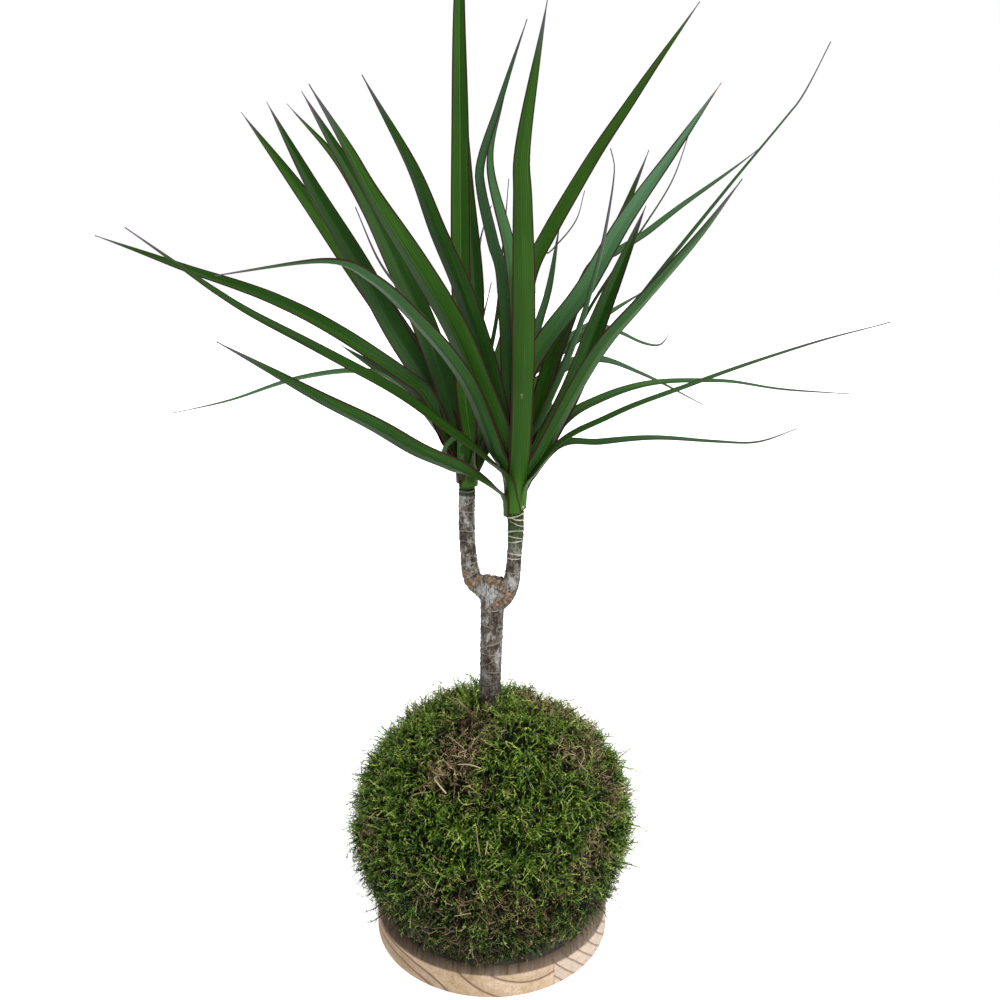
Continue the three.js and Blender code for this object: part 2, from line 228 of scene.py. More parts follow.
# %% [markdown]
# The saucer was turned on a lathe, so its profile is drawn once and spun round the upright axis. The rim's
# corners are then bevelled, which gives the thin bright line that a real arris shows.

# %% The saucer's shape
SAUCER_RADIUS = 60 * MM
SAUCER_HEIGHT = 12.8 * MM
RECESS_RADIUS = 52.5 * MM
SAUCER_FLOOR = 9.8 * MM
FOOT_BEVEL = 1.2 * MM
RIM_BEVEL = 0.35 * MM
SAUCER_STEPS = 160

saucer = bmesh.new()
profile = [
    (0, 0),
    (SAUCER_RADIUS - FOOT_BEVEL, 0),
    (SAUCER_RADIUS, FOOT_BEVEL),
    (SAUCER_RADIUS, SAUCER_HEIGHT),
    (RECESS_RADIUS, SAUCER_HEIGHT),
    (RECESS_RADIUS, SAUCER_FLOOR),
    (0, SAUCER_FLOOR),
]
corners = [saucer.verts.new((radius, 0, height)) for radius, height in profile]
lines = [saucer.edges.new(pair) for pair in zip(corners, corners[1:])]
bmesh.ops.spin(
    saucer, geom=corners + lines, axis=(0, 0, 1), angle=2 * math.pi, steps=SAUCER_STEPS, use_merge=True
)
bmesh.ops.remove_doubles(saucer, verts=saucer.verts, dist=WELD)
bmesh.ops.recalc_face_normals(saucer, faces=saucer.faces)
crisp = [e for e in saucer.edges if len(e.link_faces) == 2 and e.calc_face_angle() > math.radians(30)]
bmesh.ops.bevel(saucer, geom=crisp, offset=RIM_BEVEL, segments=2, profile=0.5, affect="EDGES")

# %% [markdown]
# The saucer is pale pine, and its grain runs towards the viewer and a little to the right. A growth ring
# is a cylinder round the old heart of the tree, so a solid texture of distances from such a line draws an
# arc across the front of the wall, a long stripe on the top, and stays true on every face. Four rings show
# on the wide board. The narrow right board was cut from elsewhere, and its rings lie as slanting planes.

# %% Pine
pine = Finish("pine")
GRAIN_TURN = 28
RINGS = [
    (-69.4, -17.8, 27.2), (-68.6, -16.2, 29.6), (-8.5, 38.1, 40.7), (-8.5, 42.2, 34.9),
]
RING_HALF_WIDTH = 0.75 * MM
JOINT_AT = 2.3 * MM
RIGHT_RING_WIDTH = 5.1 * MM
RIGHT_RING_SLOPE = (0.7, 0.71)

pine_x, pine_y, height = pine.axes()
across = pine_x * math.cos(math.radians(GRAIN_TURN)) + pine_y * math.sin(math.radians(GRAIN_TURN))
turn = (0, 0, -math.radians(GRAIN_TURN))
sway = pine.cloud(pine.stretched((50, 6, 60), turn), 1, 2, 0.5) - 0.5


def near(value, level, reach):
    """1 where the value is at the level, and 0 where it is `reach` away."""
    gap = value - level
    return 1 - (gap * gap).rise(0, reach * reach)


on_right = across.rise(JOINT_AT, JOINT_AT + 0.2 * MM)
dark_lines = 0
soft_bands = 0
for heart_x, heart_z, ring_radius in RINGS:
    side = across - heart_x * MM
    above = height - heart_z * MM
    distance = (side * side + above * above) ** 0.5 + sway * (1.6 * MM)
    dark_lines = dark_lines + near(distance, ring_radius * MM, RING_HALF_WIDTH)
    soft_bands = soft_bands + near(distance, (ring_radius - 1.4) * MM, 4 * RING_HALF_WIDTH)
planes = across * RIGHT_RING_SLOPE[0] + height * RIGHT_RING_SLOPE[1] + sway * (1.5 * MM)
ring = pine.math("FRACT", planes * (1 / RIGHT_RING_WIDTH) + 0.66)
right_lines = ring.rise(0.72, 0.94) * (1 - ring.rise(0.96, 1.0))
late = dark_lines * (1 - on_right) + right_lines * on_right
joint = near(across, JOINT_AT, 0.5 * MM)
pores = pine.cloud(pine.stretched((2600, 260, 2600), turn), 1, 2, 0.7)
streaks = pine.cloud(pine.stretched((900, 22, 900), turn), 1, 3, 0.6)
wide_streaks = pine.cloud(pine.stretched((260, 8, 260), turn), 1, 3, 0.6)
broad = pine.cloud(pine.place(), 38, 3, 0.6)
left_wood = pine.ramp(
    broad * 0.6 + wide_streaks * 0.4,
    (0.38, (0.49, 0.335, 0.19)),
    (0.5, (0.65, 0.485, 0.325)),
    (0.62, (0.76, 0.59, 0.44)),
)
from_middle = (pine_x * pine_x + pine_y * pine_y) ** 0.5
# Painted shade: the top of the rim is darkened for the shadow that the overhanging moss ball casts on it.
rim_painted_shade = height.rise(12.3 * MM, 12.7 * MM) * (1 - from_middle.rise(59.1 * MM, 59.7 * MM))
in_recess = 1 - from_middle.rise(52.4 * MM, 52.7 * MM)
rim_shade_colour = pine.ramp(
    wide_streaks * 0.5 + streaks * 0.5,
    (0.38, (0.13, 0.085, 0.056)),
    (0.5, (0.25, 0.18, 0.13)),
    (0.62, (0.38, 0.29, 0.225)),
)
# Painted shade: the recess is coloured dark grey for the shade under the overhanging ball.
recess_shade_colour = pine.ramp(streaks, (0.35, (0.16, 0.145, 0.13)), (0.65, (0.34, 0.32, 0.30)))
pine_material = pine.done(
    Base_Color=pine.layered(
        left_wood,
        ((0.65, 0.545, 0.455), on_right * 0.7),
        ((0.34, 0.24, 0.16), streaks.rise(0.42, 0.75) * 0.55),
        ((0.36, 0.23, 0.14), soft_bands * (1 - on_right) * 0.35),
        ((0.15, 0.075, 0.04), late * 0.75 + joint * 0.3),
        ((0.22, 0.14, 0.09), pores.rise(0.54, 0.72) * 0.5),
        # painted shade of the ball on the rim top
        (rim_shade_colour, rim_painted_shade * 0.85),
        # painted shade of the ball in the recess
        (recess_shade_colour, in_recess * 0.85),
    ),
    Roughness=0.62 + pores * 0.15,
    Specular_IOR_Level=0.3,
    Normal=pine.relief(pores * 0.5 + streaks * 0.5, 0.12 * MM),
)
finished("turned_saucer", saucer, pine_material, "wood", "saucer", sharp=40)

# %% [markdown]
# The ball keeps the form of the CAD solid: a sphere a little wider than high, with soft lumps, and a flat
# foot. `ball_points` gives the point of its surface in a direction, and the moss is planted on it.

# %% The ball's form
BALL_RADIUS = 69 * MM
BALL_HALF_HEIGHT = 66.5 * MM
BALL_CENTRE_Z = 58 * MM
BALL_BASE_Z = 10.1 * MM
BASE_ROUNDING = 3 * MM
STEM_X = -0.8 * MM


def ball_points(directions, rise, base_z=BALL_BASE_Z):
    """Points `rise` proud of the ball in the given directions, one row for each."""
    x, y, z = directions.T
    turn = np.arctan2(y, x)
    girth = np.hypot(x, y)
    lumps = 1 + 0.012 * girth * np.sin(3 * turn + 1) + 0.008 * np.sin(2 * turn + 4 * z)
    level = BALL_CENTRE_Z + z * (BALL_HALF_HEIGHT * lumps + rise)
    soft = base_z + BASE_ROUNDING * np.logaddexp(0, (level - base_z) / BASE_ROUNDING)
    spread = BALL_RADIUS * lumps + rise
    return np.column_stack([x * spread, y * spread, np.maximum(soft, base_z + 0.1 * MM)])


def clouds(directions, scale, seed):
    """Smooth noise from -1 to 1 for each direction."""
    return np.array([noise.noise(Vector(d) * scale + Vector((seed, 0, 0))) for d in directions])


def heading(turn, tilt):
    """The direction at `turn` degrees to the right of the front and `tilt` degrees up."""
    a, e = math.radians(turn), math.radians(tilt)
    return np.array([math.sin(a) * math.cos(e), -math.cos(a) * math.cos(e), math.sin(e)])


def degrees_from(directions, turn, tilt):
    """The angle between each direction and one heading, in degrees."""
    return np.degrees(np.arccos(np.clip(directions @ heading(turn, tilt), -1, 1)))


# %% [markdown]
# Patches of the moss have dried to straw and brown. Each is a direction from the ball's centre, its reach
# in degrees and how dry it is. Their edges are broken up by noise, because moss dries in ragged tufts.

# %% Where the moss is dry
DRY_PATCHES = [
    (-25, 70, 11, 0.8), (-22, 61, 8, 0.9), (-26, 53, 10, 1.0), (-9, 43, 7, 0.4), (111, 69, 11, 0.7),
    (104, 52, 10, 0.6), (58, 50, 7, 0.7), (76, 43, 9, 1.0), (70, 31, 8, 0.9), (63, 22, 6, 0.5),
    (47, 11, 8, 1.0), (41, 4, 7, 0.9), (-23, 0, 9, 0.55), (-8, 1, 10, 0.6), (6, -2, 10, 0.65),
    (20, -5, 9, 0.6), (-12, -16, 10, 0.55), (-56, 14, 7, 0.6), (-35, 44, 7, 0.5), (150, 30, 16, 0.8),
    (-130, 48, 14, 0.7), (-165, 5, 15, 0.8), (110, -2, 16, 0.7), (-100, 0, 14, 0.6),
]


def dryness(directions):
    """How dry the moss is in each direction, from 0 to 1."""
    dry = np.zeros(len(directions))
    for turn, tilt, reach, most in DRY_PATCHES:
        dry = np.maximum(dry, most * np.clip(1.5 - degrees_from(directions, turn, tilt) / reach, 0, 1))
    low = np.clip((0.1 - directions[:, 2]) / 0.5, 0, 1) * 0.52
    return np.clip(np.maximum(dry, low), 0, 1)


# %% [markdown]
# Thread wound round the ball holds the moss. A turn of it lies in a plane, given by its normal and how far
# it passes from the centre. Moss near a turn is pressed flat.

# %% Where the thread runs
THREAD_TURNS = [
    ((0.67, 0.72, 0.18), 0),
    ((0.81, 0.56, 0.18), 0),
    ((-0.7, 0.69, -0.19), 0),
    ((0.35, -0.3, 0.89), -5 * MM),
]
THREAD_TURNS = [(np.array(normal) / np.linalg.norm(normal), offset) for normal, offset in THREAD_TURNS]


def pressed(directions):
    """How hard the thread presses in each direction: 1 under it, 0 well clear of it."""
    gaps = [np.abs(directions @ unit * BALL_RADIUS - offset) for unit, offset in THREAD_TURNS]
    return 1 - np.clip((np.min(gaps, axis=0) - 0.3 * MM) / (1.2 * MM), 0, 1)


# %% [markdown]
# The ball was packed by hand, so it has hollows: a long one that runs down from the stem to the dry tangle
# on the left, and smaller ones low down. Each is a direction, its reach in degrees and its depth. A bump
# is a hollow with a negative depth.

# %% Hollows
HOLLOWS = [
    (38, 73, 13, -3.4), (-60, 68, 14, -1.6), (50, 35, 12, -1.4), (-55, 0, 14, -1.2), (-12, 78, 9, 2.5),
    (-22, 70, 8, 3.5), (-25, 61, 8, 3.2), (-20, 50, 8, 1.5), (-9, 43, 8, 1.5), (47, 12, 9, 2.5),
    (42, 2, 9, 2.0), (-8, 3, 12, 1.8), (18, 0, 10, 1.2), (-40, 12, 9, 1.5), (65, 33, 9, 1.2),
    (130, 25, 10, 2.5), (-120, 30, 11, 2.5), (178, 45, 10, 2.0), (-52, -40, 15, 3.6),
]


def hollows(directions):
    """How deep the ball is dented in each direction, in millimetres."""
    depth = np.zeros(len(directions))
    for turn, tilt, reach, deepest in HOLLOWS:
        depth += deepest * np.exp(-((degrees_from(directions, turn, tilt) / reach) ** 2))
    return np.minimum(depth, 4)


# %% [markdown]
# Under the fronds lies a bed of old dark moss. It is an icosphere whose corners are moved to the ball's
# surface and roughened, so nothing pale shows between the fronds. Its near-black colour is partly the bed's
# own and partly painted shade in the gaps between the fronds.

# %% The moss bed
BED_DEPTH = 3.4

bed = bmesh.new()
bmesh.ops.create_icosphere(bed, subdivisions=6, radius=1)
rays = np.array([v.co.normalized() for v in bed.verts])
rough = clouds(rays, 4, 3) * 1.2 * MM + clouds(rays, 16, 5) * 0.9 * MM
bed_points = ball_points(rays, rough - (BED_DEPTH + hollows(rays)) * MM)
for corner, point in zip(bed.verts, bed_points):
    corner.co = point

# The bed's near-black colour is partly its own and partly painted shade between the fronds.
dark = Finish("old_moss_and_painted_shade")
mottle = dark.cloud(dark.place(), 420, 4, 0.7)
dark_material = dark.done(
    Base_Color=dark.ramp(
        mottle, (0.35, (0.002, 0.003, 0.001)), (0.55, (0.006, 0.008, 0.002)), (0.75, (0.022, 0.014, 0.007))
    ),
    Roughness=0.9,
    Specular_IOR_Level=0.1,
    Normal=dark.relief(mottle, 0.6 * MM),
)
finished("moss_bed", bed, dark_material, "moss", "moss_wrap")

# %% [markdown]
# Feather moss grows as small fronds: a wiry stalk with short leaflets by turns on its left and right, hooked
# at the tip. Real fur particles would be lost on export, so a few fronds are shaped here and later copied
# by the thousand. The stalk is a narrow grid and each leaflet a single face, all bent along one curve.

# %% One frond
STALK_ROWS = 6
STALK_WIDTH = 0.62 * MM
LEAFLETS = 7
LEAFLET_WIDTH = 0.55 * MM
CURVE_STEPS = 40


def frond(length, curl, hook, sway, reach):
    """Corners, faces and the share along the frond of each corner. It starts along +Y. It bends upwards
    by `curl` radians, and by `hook` more near its tip."""
    shares = np.linspace(0, 1, CURVE_STEPS + 1)
    bends = curl * shares + hook * shares**3
    ahead = np.concatenate([[0], np.cumsum(np.cos(bends[:-1]))]) * length / CURVE_STEPS
    lifted = np.concatenate([[0], np.cumsum(np.sin(bends[:-1]))]) * length / CURVE_STEPS

    def bent(along, aside, proud):
        y = np.interp(along, shares, ahead)
        z = np.interp(along, shares, lifted)
        bend = np.interp(along, shares, bends)
        x = aside + sway * along * along * length
        return x, y - proud * math.sin(bend), z + proud * math.cos(bend)

    bm = bmesh.new()
    tip_shares = []
    stalk = bmesh.ops.create_grid(bm, x_segments=1, y_segments=STALK_ROWS, size=1)["verts"]
    for corner in stalk:
        along = (corner.co.y + 1) / 2
        tip_shares.append(along)
        corner.co = bent(along, corner.co.x * STALK_WIDTH / 2 * (1 - 0.75 * along), 0)
    for number in range(LEAFLETS):
        start = (number + 0.8) / (LEAFLETS + 0.6)
        hand = 1 if number % 2 else -1
        leaflet = bmesh.ops.create_grid(bm, x_segments=1, y_segments=1, size=1)["verts"]
        for corner in leaflet:
            out = (corner.co.y + 1) / 2
            wide = corner.co.x * LEAFLET_WIDTH * (0.5 - 0.35 * out)
            along = min(start + (wide + out * reach * 0.75) / length, 1)
            tip_shares.append(min(along + 0.2 * out, 1))
            corner.co = bent(along, hand * out * reach * (1 - 0.45 * start), out * reach * 0.45)
    bm.verts.ensure_lookup_table()
    points = np.array([v.co for v in bm.verts])
    faces = np.array([[v.index for v in f.verts] for f in bm.faces])
    bm.free()
    return points, faces, np.array(tip_shares)


FRONDS = [
    frond(length * MM, curl, hook, sway, reach * MM)
    for length, curl, hook, sway, reach in [
        (9.5, 0.4, 1.6, 0.15, 1.0),
        (8.5, -0.6, -1.8, -0.30, 0.9),
        (11.5, -0.9, 2.4, 0.25, 0.9),
        (7.0, 0.9, 0.8, 0.40, 1.2),
        (9.5, -1.2, -0.6, -0.25, 0.8),
        (12.5, 0.5, -2.2, -0.20, 0.7),
        (8.0, 1.3, 1.8, 0.20, 1.0),
        (6.5, -0.5, 1.2, -0.45, 1.3),
        (10.5, 1.0, -2.8, 0.10, 0.7),
        (9.0, -1.5, 3.0, -0.15, 0.9),
    ]
]
print("faces of one frond", len(FRONDS[0][1]))

# %% [markdown]
# The fronds are spread evenly over the ball along a golden spiral. Each takes its lie from a smooth flow
# over the surface, turned by chance, and stands up more or less. Numbers for its tone, its dryness and the
# share along it go with every corner, and the finish reads them.

# %% Planting the fronds
FROND_COUNT = 31500
MOSS_PIECES = 5
STEM_GAP = 6.2 * MM
STEM_REACH = 10 * MM
GOLDEN_ANGLE = math.pi * (3 - math.sqrt(5))


def spread(count):
    """Directions spread evenly over a sphere, each nudged by chance."""
    step = np.arange(count) + 0.5
    z = 1 - 2 * step / count
    turn = GOLDEN_ANGLE * step
    flat = np.sqrt(1 - z * z)
    directions = np.column_stack([flat * np.cos(turn), flat * np.sin(turn), z])
    directions += chance.normal(0, 0.006, directions.shape)
    return directions / np.linalg.norm(directions, axis=1)[:, None]


def flows(directions):
    """A smooth lie of the moss over the ball, along its surface."""
    lie = np.array([noise.noise_vector(Vector(d) * 8 + Vector((9, 0, 0))) for d in directions])
    lie += chance.normal(0, 0.27, lie.shape)
    lie -= directions * np.sum(lie * directions, axis=1)[:, None]
    return lie / np.linalg.norm(lie, axis=1)[:, None]


def planted(name, roots, directions, lies, lifts, rolls, sizes, kinds, tones, dry, material):
    """Copies the fronds to their roots as one piece."""
    lifts, rolls = lifts[:, None], rolls[:, None]
    level_sides = np.cross(lies, directions)
    forward = lies * np.cos(lifts) + directions * np.sin(lifts)
    level_up = directions * np.cos(lifts) - lies * np.sin(lifts)
    sides = level_sides * np.cos(rolls) + level_up * np.sin(rolls)
    upward = level_up * np.cos(rolls) - level_sides * np.sin(rolls)
    points, faces, along, tone, dried = [], [], [], [], []
    start = 0
    for kind, (shape, quads, shares) in enumerate(FRONDS):
        mine = np.flatnonzero(kinds == kind)
        scaled = shape[None] * sizes[mine, None, None]
        placed = roots[mine, None] + scaled[..., :1] * sides[mine, None]
        placed = placed + scaled[..., 1:2] * forward[mine, None] + scaled[..., 2:] * upward[mine, None]
        points.append(placed.reshape(-1, 3))
        numbering = start + np.arange(len(mine))[:, None, None] * len(shape) + quads[None]
        faces.append(numbering.reshape(-1, 4))
        along.append(np.tile(shares, len(mine)))
        tone.append(np.repeat(tones[mine], len(shape)))
        dried.append(np.repeat(dry[mine], len(shape)))
        start += len(mine) * len(shape)
    points = np.concatenate(points)
    faces = np.concatenate(faces)
    out = np.hypot(points[:, 0], points[:, 1])
    floor = np.where(out > RECESS_RADIUS - 1 * MM, SAUCER_HEIGHT, SAUCER_FLOOR) + 0.3 * MM
    points[:, 2] = np.maximum(points[:, 2], floor)
    mesh = bpy.data.meshes.new(name)
    mesh.from_pydata(points, [], faces.tolist())
    for label, values in (("along", along), ("tone", tone), ("dry", dried)):
        layer = mesh.attributes.new(label, "FLOAT", "POINT")
        layer.data.foreach_set("value", np.concatenate(values).astype(np.float32))
    mesh.shade_smooth()
    return hooked(name, mesh, material, "moss")


# %% [markdown]
# Fresh feather moss is a warm leaf green that pales to yellow at the growing tips. Its feet are made nearly
# black, partly their own dark colour and partly painted shade deep in the mat. Dry fronds turn straw and
# brown. One finish holds both, and mixes them by each frond's own dryness.

# %% The finish of the fronds
green = Finish("feather moss")
share = green.carried("along")
tone = green.carried("tone")
dry_share = green.carried("dry")
# Painted shade: both ramps run to near black at the feet of the fronds, for the shade deep in the mat as well
# as the feet's own dark colour.
living = green.ramp(
    share * 0.6 + tone * 0.5,
    (0.0, (0.0004, 0.0008, 0.0002)),
    (0.34, (0.003, 0.009, 0.0008)),
    (0.54, (0.031, 0.078, 0.0055)),
    (0.76, (0.135, 0.25, 0.018)),
    (1.0, (0.46, 0.56, 0.12)),
)
withered = green.ramp(
    share * 0.45 + tone * 0.6,
    (0.0, (0.003, 0.0015, 0.001)),
    (0.33, (0.022, 0.012, 0.006)),
    (0.6, (0.13, 0.085, 0.042)),
    (1.0, (0.56, 0.43, 0.26)),
)
frond_material = green.done(
    Base_Color=green.layered(living, (withered, dry_share)), Roughness=0.35, Specular_IOR_Level=0.22
)

# %% All fronds, in five pieces
directions = spread(FROND_COUNT)
roots = ball_points(directions, np.full(len(directions), -2.6 * MM))
from_stem = np.hypot(roots[:, 0] - STEM_X, roots[:, 1])
on_top = directions[:, 2] > 0
kept = ~(on_top & (from_stem < STEM_GAP)) & (roots[:, 2] > BALL_BASE_Z + 2.0 * MM)
directions = directions[kept]
by_stem = (on_top * np.exp(-((from_stem / STEM_REACH) ** 2)))[kept]
count = len(directions)
press = pressed(directions)
swell = clouds(directions, 6, 1)
dry_here = dryness(directions)
ragged = clouds(directions, 14, 2) * 0.35 + chance.normal(0, 0.3, count)
dry_now = np.clip((dry_here + ragged * (dry_here > 0.02) - 0.35) / 0.3, 0, 1)
dry_now = np.maximum(dry_now, (chance.random(count) < 0.04 + 0.3 * by_stem) * 0.8)
depths = chance.uniform(0.8, 4.4, count)
low_down = np.clip((-0.35 - directions[:, 2]) / 0.3, 0, 1)
low_band = np.clip((0.05 - directions[:, 2]) / 0.45, 0, 1)
tufts = clouds(directions, 15, 8)
rises = -depths + 1.7 * swell + 1.6 * tufts - 0.8 * press - 1.2 * low_down - hollows(directions)
roots = ball_points(directions, rises * MM)
lies = flows(directions)
stray = chance.random(count) < 0.06
lifts = chance.normal(27, 22, count) * (1 - 0.4 * press) + 25 * stray + 35 * by_stem
lifts = np.radians(np.clip(lifts, 2, 80))
rolls = chance.uniform(-1.3, 1.3, count)
sizes = chance.uniform(0.6, 1.1, count) * (1 + 0.3 * tufts) * (1 - 0.1 * dry_now) * (1 - 0.4 * low_down)
sizes *= np.where(stray, 1.4, 1) * (1 + 0.7 * by_stem)
kinds = chance.integers(0, len(FRONDS), count)
bright = chance.random(count) < 0.3
tones = np.where(bright, 0.75, 0.3) + 0.3 * clouds(directions, 9, 4) + chance.normal(0, 0.14, count)
# Painted light: fronds high on the ball and on its right side are made lighter, and those in the low band
# darker, for the lamp that shines from above and the right.
upper = np.clip(directions[:, 2], -0.6, 0.8)
tones += 0.21 * upper - 0.23 * low_band + 0.05 * directions[:, 0] + 0.12 * by_stem
# Painted shade: fronds rooted deeper are made darker, for the shade of the fronds above them.
tones = np.clip(tones - (depths - 2.6) * 0.14, 0, 1)
turns = (np.arctan2(directions[:, 1], directions[:, 0]) / math.pi + 1) / 2
slice_of = np.floor(turns * MOSS_PIECES).astype(int) % MOSS_PIECES
crop = (roots, directions, lies, lifts, rolls, sizes, kinds, tones, dry_now)
for number in range(MOSS_PIECES):
    own = [values[slice_of == number] for values in crop]
    planted(f"moss_fronds_{number + 1}", *own, frond_material)

# %% [markdown]
# Stems, threads and straws are all tubes. A flat grid is bent round the course of the tube and its seam is
# merged, which keeps the faces even. The course is the same smooth curve that the CAD source uses.

# %% Courses and tubes
CURVE_PARTS = 24


def course(points, steps):
    """Places at even steps along the smooth curve through the points, and its direction at each. Any
    number after x, y and z goes along, such as a radius."""
    points = [np.array(p, float) for p in points]
    ends = [2 * points[0] - points[1], *points, 2 * points[-1] - points[-2]]
    fine = []
    for before, first, second, after in zip(ends, ends[1:], ends[2:], ends[3:]):
        leave, arrive = (second - before) / 2, (after - first) / 2
        for part in np.linspace(0, 1, CURVE_PARTS, endpoint=False):
            cubic = (2 * first - 2 * second + leave + arrive) * part**3
            square = (-3 * first + 3 * second - 2 * leave - arrive) * part**2
            fine.append(cubic + square + leave * part + first)
    fine = np.array([*fine, points[-1]])
    lengths = np.concatenate([[0], np.cumsum(np.linalg.norm(np.diff(fine[:, :3], axis=0), axis=1))])
    wanted = np.linspace(0, lengths[-1], steps + 1)
    places = np.column_stack([np.interp(wanted, lengths, fine[:, i]) for i in range(fine.shape[1])])
    tangents = np.gradient(places[:, :3], axis=0)
    return places, tangents / np.linalg.norm(tangents, axis=1)[:, None], lengths[-1]


def tube(bm, route, sides, step):
    """Adds a tube along a route of [x, y, z, radius] in metres, closed at both ends."""
    steps = max(int(course(route, 8)[2] / step), 4)
    places, tangents, _ = course(route, steps)
    made = bmesh.ops.create_grid(bm, x_segments=sides, y_segments=steps, size=1)["verts"]
    for corner in made:
        row = round((corner.co.y + 1) / 2 * steps)
        angle = (corner.co.x + 1) * math.pi
        tangent = Vector(tangents[row])
        first = Vector((0, 1, 0)) if abs(tangent.y) < 0.9 else Vector((1, 0, 0))
        across = first.cross(tangent).normalized()
        beside = tangent.cross(across)
        radius = places[row, 3]
        offset = across * (radius * math.cos(angle)) + beside * (radius * math.sin(angle))
        corner.co = Vector(places[row, :3]) + offset
    bmesh.ops.remove_doubles(bm, verts=made, dist=WELD)
    open_edges = [e for e in bm.edges if e.is_boundary]
    bmesh.ops.holes_fill(bm, edges=open_edges, sides=0)


def metres(route):
    """A route given in millimetres."""
    return [[value * MM for value in point] for point in route]


# %% [markdown]
# The stem was cut back once, and two arms grew from the cut. Three tubes make the trunk and its arms, and a
# voxel remesh melts them into one skin, as wood heals over a fork.

# %% The stem's shape
TRUNK_ROUTE = [
    [-0.6, 0, 104, 4.9],
    [-0.6, 0, 132, 5.1],
    [0.0, 0, 158, 5.5],
    [0.4, 0, 173, 5.7],
    [0.8, 0, 183, 6.2],
    [0.2, 0.3, 187.5, 4.6],
]
LEFT_ARM_ROUTE = [
    [0.6, 0.5, 180, 4.8],
    [-4.6, 1.5, 184.3, 4.5],
    [-9.4, 3, 189.6, 4.5],
    [-11.1, 4, 201, 3.9],
    [-11.8, 4, 216, 3.9],
    [-11.5, 4, 233.7, 3.9],
]
RIGHT_ARM_ROUTE = [
    [2, -0.5, 177, 4.8],
    [7, -2, 182.6, 4.6],
    [10, -3, 191, 3.9],
    [11, -4, 203, 3.5],
    [11.7, -4, 215, 3.8],
    [11.3, -4, 226.7, 4.1],
]
STEM_VOXEL = 0.36 * MM

CALLUS_ROUTE = [[-7.5, 1.5, 185.5, 4], [0, 0, 186, 5.2], [7.5, -1.5, 185.5, 4]]

stem = bmesh.new()
for route in (TRUNK_ROUTE, LEFT_ARM_ROUTE, RIGHT_ARM_ROUTE, CALLUS_ROUTE):
    tube(stem, metres(route), 28, 1.5 * MM)
bmesh.ops.recalc_face_normals(stem, faces=stem.faces)
rough_mesh = bpy.data.meshes.new("rough_stem")
stem.to_mesh(rough_mesh)
stem.free()
rough_stem = in_scene("rough_stem", rough_mesh)
melt = rough_stem.modifiers.new("melt", "REMESH")
melt.mode = "VOXEL"
melt.voxel_size = STEM_VOXEL
settle = rough_stem.modifiers.new("settle", "SMOOTH")
settle.iterations = 12
ready = rough_stem.evaluated_get(bpy.context.evaluated_depsgraph_get())
stem = bmesh.new()
stem.from_mesh(ready.to_mesh())
bpy.data.objects.remove(rough_stem)

# %% [markdown]
# Each leaf that fell left a thin raised ring round the stem, and the fork healed with rough brown cork. The
# rings are heights with a tilt and a width, and each corner is moved out by them. The same numbers go to
# the finish, so the pale lines sit on the ridges.

# %% Scars, cork and the cut
SCARS = {
    "trunk": [
        (174.8, 0.12, 0.35), (166.3, -0.18, 0.42), (156.9, 0.38, 0.45), (151.8, -0.08, 0.42),
        (148.2, 0.45, 0.35), (142.4, -0.15, 0.4), (136.5, 0.12, 0.4), (130.5, -0.1, 0.4),
        (125.5, 0.1, 0.4),
    ],
    "left": [
        (233.0, 0.0, 0.35), (229.9, 0.05, 0.35), (227.0, 0.45, 0.35), (223.0, -0.05, 0.4),
        (217.5, 0.3, 0.3), (213.5, 0.03, 0.42), (208.0, -0.2, 0.32), (201.5, -0.35, 0.35),
        (196.5, 0.25, 0.38), (190.5, 0.6, 0.4),
    ],
    "right": [
        (222.6, 0.42, 0.42), (221.4, -0.1, 0.45), (219.2, -0.42, 0.42), (215.4, 0.04, 0.5),
        (212.4, -0.32, 0.36), (210.3, 0.02, 0.36), (203.9, -0.06, 0.52), (201.9, 0.12, 0.33),
        (194.5, 0.02, 0.42), (188.4, 0.3, 0.3),
    ],
}
FORK_Z = 186
ARM_X = 11.4
CORK_SPOTS = [
    (-13, 0, 191, 2.4), (-11.5, -1, 186.5, 2.8), (-6.5, -2, 190.5, 2.0), (8, -6, 182.3, 2.6),
    (3.8, -7, 178.8, 2.1), (5.5, -6.5, 186.2, 1.6), (1.5, -3, 190.8, 3.0), (-1, 2, 191, 3.0),
    (6, 3, 181, 4.0), (-6, 5, 182, 3.6),
]
PALE_SPOT = (-1, -6, 184)
PALE_REACH = 5

